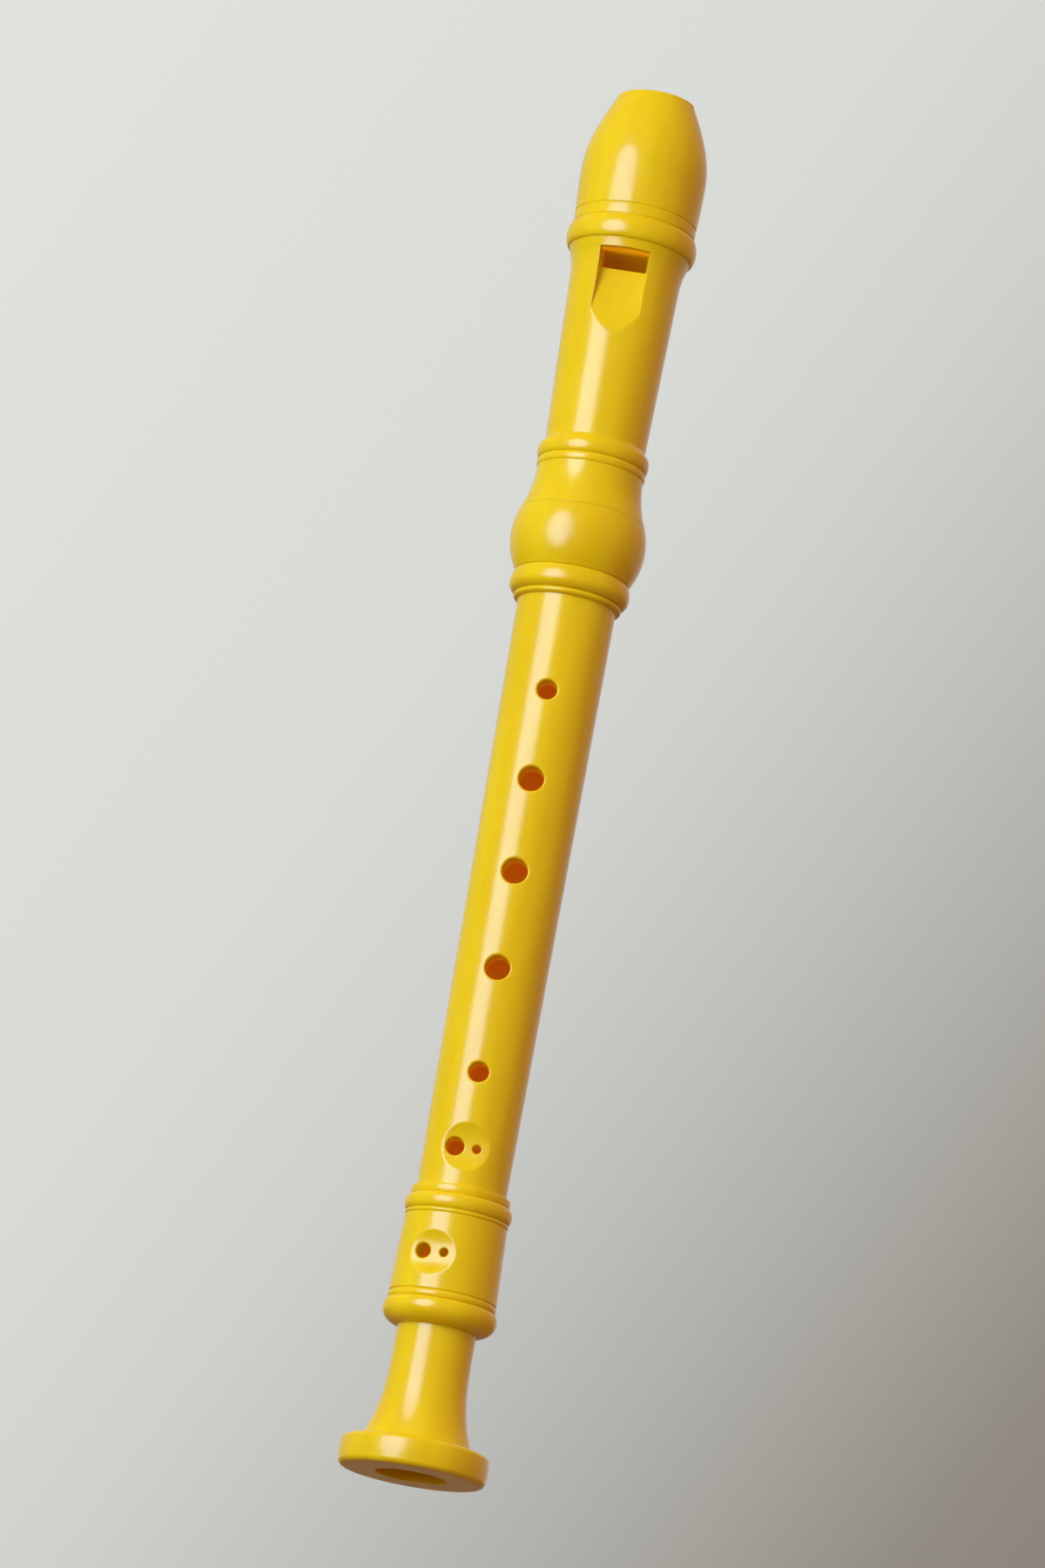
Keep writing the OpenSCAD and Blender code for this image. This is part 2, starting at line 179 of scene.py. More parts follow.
# The window: half its width, the labium, the slopes of ramp and side walls, the recess's reach
WINDOW_HALF = 5.15
LABIUM_Z = SEAM_Z - 4.2
LABIUM_DEPTH = 8.5
BLADE_BACK = 8.1
UNDERCUT_H = 6.0
RAMP_SLOPE = 0.2464
WALL_SLOPE = 4.72
RAMP_EDGE = 0.3
RECESS_EDGE = 0.22
RECESS_X = 6.62
WINDOW_LOW_Z = SEAM_Z - 23.4
WINDOW_ROWS = 60
WINDOW_COLUMNS = 31
OPENING_COLUMNS = 42
OPENING_ROWS = 15
# Spacing of the points in the recess: across its side walls, beyond them, and upward
WALL_STEP = 0.07
TUBE_STEP = 0.22
RECESS_ROW = 0.16

# The mouthpiece's outside: the ring over the window, two grooves in a band, the belly and the tip
MOUTH_RING_R = 15.35
MOUTH_RING_Z = SEAM_Z + 2.1
BAND_R = 14.35
BAND_Z = MOUTH_RING_Z + 5.5
GROOVE = 0.25
GROOVE_HEIGHTS = (BAND_Z + 0.26, BAND_Z + 3.0)
BELLY_R = 14.75
BELLY_Z = BAND_Z + 14.2
BEAK_TIP_R = 9.6
TIP_EDGE = 0.9
# Its hollowed back, with a softened edge, and the rows and columns of its mesh
HOLLOW_BACK_R = 30.0
HOLLOW_BACK_Y = 27.13
HOLLOW_BACK_Z = TIP_Z + 2.0
BACK_START_Z = SEAM_Z + 14.0
BACK_FINE_Z = BACK_START_Z + 3.5
BEAK_EDGE = 0.9
BEAK_COLUMNS = 360
CAP_ROW = -6
# The windway's floor and roof at its exit, their drop to the tip, its lip and the ways its sides
# face, and the block's pocket
FLOOR_EXIT = 7.7
FLOOR_DROP = 1.9
ROOF_EXIT = 8.9
ROOF_DROP = 1.6
SLOT_LIP = 0.25
WAYS = {"roof": (0, 1, 0), "floor": (0, -1, 0), "left": (1, 0, 0), "right": (-1, 0, 0)}
LIP_CLEAR = 0.12
BLOCK_R = 9.4
BLOCK_COVER = 1.8
BLOCK_EDGE = 0.05
POCKET_COLUMNS = 121
POCKET_ROWS = 31
# Where the flat back sets no limit
FAR = 99.0


# ------------ outlines

def swell(p, q, steps=14):
    """Quarter of an oval from p to q, flat at p and upright at q."""
    a = np.linspace(0, math.pi / 2, steps + 1)
    return [(p[0] + (q[0] - p[0]) * math.sin(t), q[1] - (q[1] - p[1]) * math.cos(t)) for t in a]


def tuck(p, q, steps=14):
    """Quarter of an oval from p to q, upright at p and flat at q."""
    a = np.linspace(0, math.pi / 2, steps + 1)
    return [(q[0] - (q[0] - p[0]) * math.cos(t), p[1] + (q[1] - p[1]) * math.sin(t)) for t in a]


def ring(p, q, r, crest=0.5, steps=14):
    """A ring from p to q that bulges out to the radius r at the share crest of its height."""
    top = (r, p[1] + (q[1] - p[1]) * crest)
    return swell(p, top, steps) + tuck(top, q, steps)[1:]


def flare(p, q, power, steps=28):
    """A hollow curve from p to q that ends upright at q."""
    u = np.linspace(0, 1, steps + 1)
    return [(q[0] + (p[0] - q[0]) * (1 - t) ** power, p[1] + (q[1] - p[1]) * t) for t in u]


def softened(outline, radius):
    """The outline with each sharp corner rounded by up to radius, as far as its sides allow."""
    p = []
    for q in np.array(outline, float):
        if not p or np.hypot(*(q - p[-1])) > 1e-6:
            p.append(q)
    out = [p[0]]
    for before, at, after in zip(p, p[1:], p[2:]):
        a, b = before - at, after - at
        la, lb = np.hypot(*a), np.hypot(*b)
        bend = math.acos(max(-1.0, min(1.0, -float(a @ b) / (la * lb))))
        if bend < SHARP:
            out.append(at)
            continue
        cut = min(radius * math.tan(bend / 2), 0.45 * la, 0.45 * lb)
        start, end = at + a / la * cut, at + b / lb * cut
        steps = max(3, int(math.degrees(bend) / 12))
        for t in np.linspace(0, 1, steps + 1):
            out.append((1 - t) ** 2 * start + 2 * t * (1 - t) * at + t ** 2 * end)
    out.append(p[-1])
    return [tuple(x) for x in out]


# ------------ skins

class Skin:
    """A closed surface sewn from patches. Every patch brings the normals of its own corners."""

    def __init__(self):
        self.points, self.normals, self.faces = [], [], []

    def add(self, points, normals, faces):
        """Adds one patch; faces that look the wrong way for their normals are turned."""
        points, normals = np.asarray(points, float), np.asarray(normals, float)
        faces = np.asarray(faces, int)
        if faces.shape[1] == 4:
            faces = np.concatenate([faces[:, [0, 1, 2]], faces[:, [0, 2, 3]]])
        a, b, c = (points[faces[:, i]] for i in range(3))
        across = np.cross(b - a, c - a)
        wrong = (across * normals[faces].sum(axis=1)).sum(axis=1) < 0
        faces[wrong] = faces[wrong][:, ::-1]
        self.points.append(points)
        self.normals.append(normals)
        self.faces.append(faces)

    def join(self, other):
        """Adds another skin's patches."""
        self.points += other.points
        self.normals += other.normals
        self.faces += other.faces

    def turn(self, degrees):
        """Turns everything added so far about the recorder's axis."""
        a = math.radians(degrees)
        spin = np.array([[math.cos(a), -math.sin(a), 0], [math.sin(a), math.cos(a), 0], [0, 0, 1]])
        self.points = [p @ spin.T for p in self.points]
        self.normals = [n @ spin.T for n in self.normals]

    def mesh(self, name):
        """The sewn mesh in metres, with its corner normals."""
        points, normals = np.concatenate(self.points), np.concatenate(self.normals)
        starts = np.cumsum([0] + [len(p) for p in self.points[:-1]])
        faces = np.concatenate([f + start for f, start in zip(self.faces, starts)])
        keys = np.floor(points / WELD + WELD_SHIFT).astype(np.int64)
        _, first, index = np.unique(keys, axis=0, return_index=True, return_inverse=True)
        index = index.ravel()
        sewn = index[faces]
        whole = (sewn[:, 0] != sewn[:, 1]) & (sewn[:, 1] != sewn[:, 2]) & (sewn[:, 0] != sewn[:, 2])
        sewn, corners = sewn[whole], faces[whole]
        mesh = bpy.data.meshes.new(name)
        mesh.vertices.add(len(first))
        mesh.vertices.foreach_set("co", (points[first] * MM).ravel())
        mesh.loops.add(3 * len(sewn))
        mesh.loops.foreach_set("vertex_index", sewn.ravel())
        mesh.polygons.add(len(sewn))
        mesh.polygons.foreach_set("loop_start", np.arange(0, 3 * len(sewn), 3))
        mesh.polygons.foreach_set("loop_total", np.full(len(sewn), 3))
        mesh.update(calc_edges=True)
        mesh.polygons.foreach_set("use_smooth", np.ones(len(sewn), bool))
        size = np.linalg.norm(normals, axis=1, keepdims=True)
        unit = normals / np.maximum(size, 1e-12)
        mesh.normals_split_custom_set([tuple(n) for n in unit[corners.ravel()]])
        return mesh


def grid_faces(rows, columns, closed):
    """Quads over a grid of points stored row by row."""
    span = columns if closed else columns - 1
    i, j = np.meshgrid(np.arange(rows - 1), np.arange(span), indexing="ij")
    i, j = i.ravel() * columns, j.ravel()
    k = (j + 1) % columns
    return np.stack([i + j, i + k, i + columns + k, i + columns + j], axis=1)


def points_at(x, depth, z):
    """Points by x, depth and height, each of which may be one value for all of them."""
    return np.stack(np.broadcast_arrays(x, -np.asarray(depth), z), axis=-1).astype(float)


def round_angles(count=COLUMNS):
    """Evenly spaced angles for a full turn, starting at the front."""
    return np.arange(count) * 2 * math.pi / count


def guarded(outline):
    """The outline with extra points near the ends of its long sides."""
    outline = np.array(outline, float)
    out = [outline[0]]
    for q in outline[1:]:
        p, side = out[-1], np.hypot(*(q - out[-1]))
        if side < 1e-6:
            continue
        if side > LONG_SIDE:
            out += [p + (q - p) * GUARD / side, q - (q - p) * GUARD / side]
        out.append(q)
    return np.array(out)


def turned(skin, outline, angles, closed=True):
    """Turns an outline of (radius, height) about the axis. The solid lies on its left."""
    p = guarded(outline)
    d = np.diff(p, axis=0)
    d /= np.hypot(d[:, 0], d[:, 1])[:, None]
    side = np.stack([d[:, 1], -d[:, 0]], axis=1)
    bends = (side[:-1] * side[1:]).sum(axis=1) < math.cos(CREASE)
    cuts = [0, *(np.nonzero(bends)[0] + 1), len(p) - 1]
    s, c = np.sin(angles), np.cos(angles)
    spun = lambda v: points_at(np.outer(v[:, 0], s), np.outer(v[:, 0], c), v[:, 1:]).reshape(-1, 3)
    for start, end in zip(cuts, cuts[1:]):
        run, sides = p[start:end + 1], side[start:end]
        n = np.vstack([sides[:1], sides[:-1] + sides[1:], sides[-1:]])
        skin.add(spun(run), spun(n), grid_faces(len(run), len(angles), closed))


def moulded(skin, outline, edge, angles=None):
    """Turns an outline whose corners are first rounded by edge, as a moulding's are."""
    turned(skin, softened(outline, edge), round_angles() if angles is None else angles)


# ------------ windows in a tube

def blended_min(a, b, width):
    """The smaller of a and b, rounded where they meet within width of each other."""
    h = np.maximum(width - np.abs(a - b), 0) / width
    return np.minimum(a, b) - h * h * width / 4


def slopes(depth_at, x, z):
    """Outward normals of the front surface y = -depth_at(x, z)."""
    step = 2e-3
    dx = (depth_at(x + step, z) - depth_at(x - step, z)) / (2 * step)
    dz = (depth_at(x, z + step) - depth_at(x, z - step)) / (2 * step)
    n = np.stack([-dx, -np.ones_like(dx), -dz], axis=-1)
    return n / np.linalg.norm(n, axis=-1, keepdims=True)


def tube_depth(radius_at):
    """Depth of a tube's front surface, from its radius at a height."""
    return lambda x, z: np.sqrt(np.maximum(radius_at(z) ** 2 - x ** 2, 1e-9))


def filled(points, loops):
    """Triangles over flat points, inside the first loop of indices and outside the others."""
    points = np.asarray(points)
    edges = [(a, b) for loop in loops for a, b in zip(loop, loop[1:] + loop[:1])]
    flat = [Vector((float(x), float(y))) for x, y in points]
    _, _, faces, origin, _, _ = delaunay_2d_cdt(flat, edges, [], 0, 1e-7)
    back = [o[0] for o in origin]
    faces = np.array([[back[i] for i in face] for face in faces if len(face) == 3], int)
    middle = points[faces].mean(axis=1)
    odd = np.zeros(len(faces), bool)
    for a, b in edges:
        (ax, ay), (bx, by) = points[a], points[b]
        if ay != by:
            crosses = (middle[:, 1] < ay) != (middle[:, 1] < by)
            odd ^= crosses & (middle[:, 0] < ax + (middle[:, 1] - ay) * (bx - ax) / (by - ay))
    return faces[odd]


def circle(x, z, radius, count=72):
    """Points round a hole in the x-z plane."""
    a = round_angles(count)
    return x + radius * np.cos(a), z + radius * np.sin(a), np.column_stack([np.cos(a), 0 * a, np.sin(a)])


def lip_of(radius):
    """Size of the rounded lip of a hole."""
    return 0.55 if radius > 2.2 else 0.4 if radius > 1.5 else 0.3


def clear_of(rims, point, gap):
    """Whether a point lies further than gap from every rim of (x, z, radius)."""
    return all(math.hypot(point[0] - x, point[1] - z) > radius + gap for x, z, radius in rims)


def window(skin, radius_at, depth_at, span, angles, rows, holes, inside=False):
    """One patch of a tube with holes in it. holes are (x, z, radius); angles and rows fix its edge."""
    rims = [(x, z, radius + (0 if inside else lip_of(radius))) for x, z, radius in holes]
    low_z, high_z = span
    sides = np.linspace(low_z, high_z, rows + 1)[1:-1]
    line = [(radius_at(low_z) * math.sin(a), low_z) for a in angles]
    line += [(radius_at(z) * math.sin(angles[-1]), z) for z in sides]
    line += [(radius_at(high_z) * math.sin(a), high_z) for a in angles[::-1]]
    line += [(radius_at(z) * math.sin(angles[0]), z) for z in sides[::-1]]
    loops = [list(range(len(line)))]
    for x, z, radius in rims:
        cx, cz, _ = circle(x, z, radius)
        loops.append(list(range(len(line), len(line) + len(cx))))
        line += zip(cx, cz)
    for rim in rims:
        others = [other for other in rims if other != rim]
        for gap in RIM_GAPS:
            cx, cz, _ = circle(rim[0], rim[1], rim[2] + gap)
            line += [point for point in zip(cx, cz) if clear_of(others, point, gap)]
    for z in np.linspace(low_z, high_z, max(3, int((high_z - low_z) / LATTICE)))[1:-1]:
        row = [(radius_at(z) * math.sin(a), z) for a in angles[1:-1]]
        line += [point for point in row if clear_of(rims, point, RIM_CLEAR)]
    x, z = np.array(line).T
    flat = np.stack([np.arcsin(np.clip(x / radius_at(z), -1, 1)) * radius_at(low_z), z], axis=1)
    faces = filled(flat, loops)
    normals = slopes(depth_at, x, z)
    skin.add(points_at(x, depth_at(x, z), z), -normals if inside else normals, faces)


def hole_walls(skin, depth_at, bore_depth_at, holes):
    """Rounded lips and straight walls of holes drilled along Y."""
    for hx, hz, hr in holes:
        lip = lip_of(hr)
        rows, normals = [], []
        for a in np.linspace(0, math.pi / 2, 9):
            x, z, out = circle(hx, hz, hr + lip * (1 - math.sin(a)))
            rows.append(points_at(x, depth_at(x, z) - lip * (1 - math.cos(a)), z))
            normals.append(math.cos(a) * slopes(depth_at, x, z) - math.sin(a) * out)
        skin.add(np.concatenate(rows), np.concatenate(normals), grid_faces(len(rows), len(out), True))
        x, z, out = circle(hx, hz, hr)
        top, end = -rows[-1][:, 1], bore_depth_at(x, z)
        wall = [points_at(x, top + (end - top) * t, z) for t in np.linspace(0, 1, 7)]
        skin.add(np.concatenate(wall), np.tile(-out, (7, 1)), grid_faces(7, len(out), True))


def strip(skin, a, b, normal, rows=2):
    """A strip of faces between two rows of points of the same length."""
    t = np.linspace(0, 1, rows)[:, None, None]
    points = (a[None] * (1 - t) + b[None] * t).reshape(-1, 3)
    normals = np.broadcast_to(np.asarray(normal, float), (rows, len(a), 3)).reshape(-1, 3)
    skin.add(points, normals, grid_faces(rows, len(a), False))


def flat_face(skin, outline, holes, z, normal):
    """A flat face at height z inside an outline of (x, y) points, with holes in it."""
    points = np.concatenate([outline, *holes])
    starts = np.cumsum([0, len(outline)] + [len(h) for h in holes])
    loops = [list(range(a, b)) for a, b in zip(starts, starts[1:])]
    faces = filled(points, loops)
    full = np.column_stack([points, np.full(len(points), z)])
    skin.add(full, np.broadcast_to(np.asarray(normal, float), full.shape), faces)


def drilled_tube(skin, radius_at, low_z, high_z, windows, inside=False):
    """A straight tube with windows in it, each as patch() gives it."""
    angles = round_angles()
    sign = -1 if inside else 1
    z = low_z
    for start, end, half, holes, depth_at, behind in sorted(windows, key=lambda w: w[0]):
        line = [(radius_at(z), z), (radius_at(start), start)]
        turned(skin, line[::sign], angles)
        front = angles[:half + 1]
        rows = max(4, int((end - start) / PATCH_ROW))
        part = Skin()
        across = np.concatenate([-front[:0:-1], front])
        window(part, radius_at, depth_at, (start, end), across, rows, holes, inside)
        rest = angles[half:len(angles) - half + 1]
        line = [(radius_at(t), t) for t in np.linspace(start, end, rows + 1)]
        turned(part, line[::sign], rest, False)
        if behind:
            part.turn(180)
        skin.join(part)
        z = end
    line = [(radius_at(z), z), (radius_at(high_z), high_z)]
    turned(skin, line[::sign], angles)


def finger_hollow(radius_at, z, depth):
    """Front surface of a tube with the hollow that a finger rests in."""
    plain = tube_depth(radius_at)
    axis = radius_at(z) - depth + HOLLOW_R

    def depth_at(x, height):
        across = axis - np.sqrt(np.maximum(HOLLOW_R ** 2 - (height - z) ** 2, 1e-6))
        return blended_min(plain(x, height), across, HOLLOW_EDGE)

    return depth_at


def tenon(radius, low_z, high_z):
    """Outline of a tenon, upward, with a waist between two friction bands."""
    waist, band = radius - TENON_WAIST, TENON_BAND_H
    return [(radius, low_z), (radius, low_z + band), (waist, low_z + band + TENON_WAIST),
            (waist, high_z - band - TENON_WAIST), (radius, high_z - band), (radius, high_z)]


def patch(z, reach, size, holes, depth_at, behind=False):
    """A window of a tube: low and high z, columns to a side, holes, front surface, if it is behind."""
    margin, half = size
    return z - reach - margin, z + reach + margin, half, holes, depth_at, behind


def drilled_part(skin, radius_at, bore_at, outer_span, bore_span, singles, pair):
    """The drilled stretch of a joint: its outer face, its bore, and the walls of every hole."""
    pair_z, large_r, hollow_depth = pair
    plain, bore = tube_depth(radius_at), tube_depth(bore_at)
    dished = finger_hollow(radius_at, pair_z, hollow_depth)
    holes = [(-PAIR_X, pair_z, large_r), (PAIR_X, pair_z, PAIR_SMALL_R)]
    outer = [patch(pair_z, 0, HOLLOW_PATCH, holes, dished)]
    inner = [patch(pair_z, 0, PAIR_BORE_PATCH, holes, bore)]
    hole_walls(skin, dished, bore, holes)
    for z, radius, behind in singles:
        hole = [(0, z, radius)]
        outer.append(patch(z, radius, HOLE_PATCH, hole, plain, behind))
        inner.append(patch(z, radius, HOLE_BORE_PATCH, hole, bore, behind))
        walls = Skin()
        hole_walls(walls, plain, bore, hole)
        if behind:
            walls.turn(180)
        skin.join(walls)
    drilled_tube(skin, radius_at, *outer_span, outer)
    drilled_tube(skin, bore_at, *bore_span, inner, True)


def middle_skin():
    """The middle joint: two tenons, the tube with its holes and finger hollow, and the collar."""
    radius_at = lambda z: TUBE_LOW_R + (TUBE_TOP_R - TUBE_LOW_R) * (z - MIDDLE_Z) / (COLLAR_Z - MIDDLE_Z)
    taper = (BORE_TOP_R - BORE_LOW_R) / (TENON_TOP_Z - TENON_LOW_Z)
    bore_at = lambda z: BORE_LOW_R + taper * (z - TENON_LOW_Z)
    on_tube = lambda z: (radius_at(z), z)
    in_bore = lambda z: (bore_at(z), z)
    low, high = MIDDLE_Z + MIDDLE_ENDS[0], COLLAR_Z - MIDDLE_ENDS[1]
    bore_low, bore_high = TENON_LOW_Z + MIDDLE_BORE_ENDS[0], TENON_TOP_Z - MIDDLE_BORE_ENDS[1]
    skin = Skin()
    below = [in_bore(bore_low), in_bore(TENON_LOW_Z), *tenon(LOW_TENON_R, TENON_LOW_Z, MIDDLE_Z)]
    moulded(skin, [*below, (TUBE_LOW_R, MIDDLE_Z), on_tube(low)], EDGE)
    shoulder = TUBE_TOP_R + COLLAR_STEP
    collar = ring((TUBE_TOP_R, COLLAR_Z), (shoulder, COLLAR_RING_Z), TUBE_TOP_R + COLLAR_BEAD_RISE)
    top = (COLLAR_RING_R - COLLAR_SHOULDER, HEAD_Z)
    collar += ring((shoulder, COLLAR_RING_Z), top, COLLAR_RING_R, COLLAR_CREST)
    above = [*tenon(TOP_TENON_R, HEAD_Z, TENON_TOP_Z), in_bore(TENON_TOP_Z), in_bore(bore_high)]
    moulded(skin, [on_tube(high), *collar, *above], FINE_EDGE)
    singles = [(MIDDLE_Z + z, d / 2, False) for z, d in FRONT_HOLES]
    singles.append((MIDDLE_Z + THUMB_HOLE[0], THUMB_HOLE[1] / 2, True))
    drilled_part(skin, radius_at, bore_at, (low, high), (bore_low, bore_high), singles, PAIR_SIX)
    return skin


def bell_outline():
    """Outline of the bell from inside its mouth to the top of its slightly crowned rim."""
    low, high = BELL_EDGE, BELL_RIM_H - BELL_EDGE
    half = (high - low) / 2
    side = [(BELL_R - RIM_CROWN * ((z - low) / half - 1) ** 2, z) for z in np.linspace(low, high, 13)]
    mouth = [(MOUTH_BORE_R, MOUTH_BORE_H / 2), (MOUTH_BORE_R, 0)]
    under = swell((BELL_R - BELL_INSET, 0), side[0])[:-1]
    return mouth + under + side + tuck(side[-1], (BELL_R - BELL_INSET, BELL_RIM_H))[1:]


def foot_skin():
    """The foot joint: the bell, the neck, the barrel with its double hole, and the socket."""
    fall = (BARREL_LOW_R - BARREL_TOP_R) / (BARREL_TOP_Z - BARREL_Z)
    radius_at = lambda z: BARREL_LOW_R - fall * (z - BARREL_Z)
    bore_at = lambda z: BORE_LOW_R + 0 * z
    on_barrel = lambda z: (radius_at(z), z)
    low, high = BARREL_Z + FOOT_ENDS[0], BARREL_TOP_Z - FOOT_ENDS[1]
    bore_low, bore_high = FOOT_BORE_Z + FOOT_BORE_ENDS[0], LOW_SOCKET_Z - FOOT_BORE_ENDS[1]
    root_r, top_r = BARREL_LOW_R - BEAD, BARREL_TOP_R - BEAD
    skin = Skin()
    neck = flare((NECK_FLARE_R, BELL_RIM_H), (NECK_R, NECK_TOP_Z), 3) + [(NECK_R, FOOT_RING_Z)]
    rings = ring((NECK_R, FOOT_RING_Z), (root_r, FOOT_RING_TOP_Z), FOOT_RING_R, FOOT_RING_CREST)
    rings += ring((root_r, FOOT_RING_TOP_Z), (root_r, BARREL_Z), BARREL_LOW_R + BEAD / 3)
    outline = bell_outline() + neck + rings + [on_barrel(BARREL_Z + BEAD), on_barrel(low)]
    moulded(skin, outline, FINE_EDGE)
    top = [on_barrel(high), on_barrel(BARREL_TOP_Z)]
    top += ring((top_r, BARREL_TOP_Z), (top_r, SOCKET_RING_Z), BARREL_TOP_R + BEAD / 2)
    top += ring((top_r, SOCKET_RING_Z), (SOCKET_LIP_R, SOCKET_LIP_Z), SOCKET_RING_R)
    top += ring((SOCKET_LIP_R, SOCKET_LIP_Z), (SOCKET_LIP_R, MIDDLE_Z), top_r)
    top += [(LOW_SOCKET_R, MIDDLE_Z), (LOW_SOCKET_R, LOW_SOCKET_Z), (BORE_LOW_R, LOW_SOCKET_Z)]
    moulded(skin, [*top, (BORE_LOW_R, bore_high)], FINE_EDGE)
    cone = [(BORE_LOW_R, bore_low), (BORE_LOW_R, FOOT_BORE_Z), (MOUTH_BORE_R, MOUTH_BORE_H),
            (MOUTH_BORE_R, MOUTH_BORE_H / 2)]
    moulded(skin, cone, EDGE)
    drilled_part(skin, radius_at, bore_at, (low, high), (bore_low, bore_high), [], PAIR_SEVEN)
    skin.turn(FOOT_TURN)
    return skin


def bulb_skin():
    """The bulb that is slipped over the head's sleeve."""
    curve = [(BULB_R - BULB_ARC_R + math.sqrt(BULB_ARC_R ** 2 - (z - BULB_BELLY_Z) ** 2), z)
             for z in np.linspace(HEAD_Z, BULB_TOP_Z, 33)]
    inside = (BULB_BORE_R, HEAD_Z + 2)
    loop = [inside, (BULB_BORE_R, HEAD_Z), *curve, (BULB_BORE_R, BULB_TOP_Z), inside]
    skin = Skin()
    moulded(skin, loop, EDGE)
    return skin


# ------------ head

def head_angles():
    """Angles for the head, with two columns exactly on the sides of the window's opening."""
    corner = math.asin(WINDOW_HALF / HEAD_BORE_R)
    front = np.linspace(0, corner, OPENING_COLUMNS + 1)
    rest = np.linspace(corner, math.pi, 103)
    half = np.concatenate([front, rest[1:]])
    return np.concatenate([half, 2 * math.pi - half[-2:0:-1]])


def both_ways(angles, count):
    """The angles within count columns of the front, from left to right."""
    return np.concatenate([-angles[count:0:-1], angles[:count + 1]])


def cove_radius(z):
    """Radius of the head tube: straight, then widening in a cove towards the mouthpiece."""
    straight = HEAD_LOW_R + (HEAD_TOP_R - HEAD_LOW_R) * (z - HEAD_TUBE_Z) / (COVE_Z - HEAD_TUBE_Z)
    widening = COVE_RISE * (np.maximum(z - COVE_Z, 0) / COVE_H) ** 2
    return np.where(z < COVE_Z, straight, HEAD_TOP_R + widening)


def recess_depth(x, z):
    """Front surface round the window: the tube, its tapered side walls, and the labium's ramp."""
    tube = tube_depth(cove_radius)(x, z)
    slope = LABIUM_DEPTH + RAMP_SLOPE * (LABIUM_Z - z)
    wall = LABIUM_DEPTH + (np.abs(x) - WINDOW_HALF) * WALL_SLOPE
    recess = -blended_min(-slope, -wall, RAMP_EDGE)
    return blended_min(tube, recess, RECESS_EDGE)


def window_patch(skin, angles, mouth_x, mouth_z):
    """The front of the head tube with the window's recess. Returns the x of its upper edge."""
    low_z, high_z = WINDOW_LOW_Z, SEAM_Z
    sides = np.linspace(low_z, high_z, WINDOW_ROWS + 1)
    front = both_ways(angles, WINDOW_COLUMNS)
    reach = math.sin(front[-1])
    dense = np.arange(WINDOW_HALF, RECESS_X - WALL_STEP, WALL_STEP)
    beyond = cove_radius(high_z) * np.sin(front)
    top_x = np.concatenate([dense, beyond[beyond > RECESS_X]])
    side = [(cove_radius(z) * reach, z) for z in sides[1:-1]]
    side += [(x, high_z) for x in top_x[::-1]]
    side += [(WINDOW_HALF, z) for z in mouth_z[::-1][1:-1]]
    line = [(x, low_z) for x in cove_radius(low_z) * np.sin(front)] + side
    line += [(x, LABIUM_Z) for x in mouth_x[::-1]]
    line += [(-x, z) for x, z in side[::-1]]
    loop = list(range(len(line)))
    wide = np.concatenate([np.linspace(-4.9, 4.9, 41), [-5.1, -5.02, 5.02, 5.1]])
    outer = np.arange(RECESS_X, HEAD_LOW_R * reach, TUBE_STEP)
    for z in np.arange(low_z + 0.15, high_z - RECESS_ROW / 2, RECESS_ROW):
        xs = [dense + 0.02, -dense - 0.02, outer, -outer]
        if z < LABIUM_Z - 0.05:
            xs.append(wide)
        line += [(x, z) for x in np.concatenate(xs) if abs(x) < cove_radius(z) * reach - 0.1]
    line = np.array(line)
    x, z = line[:, 0], line[:, 1]
    skin.add(points_at(x, recess_depth(x, z), z), slopes(recess_depth, x, z), filled(line, [loop]))
    return top_x


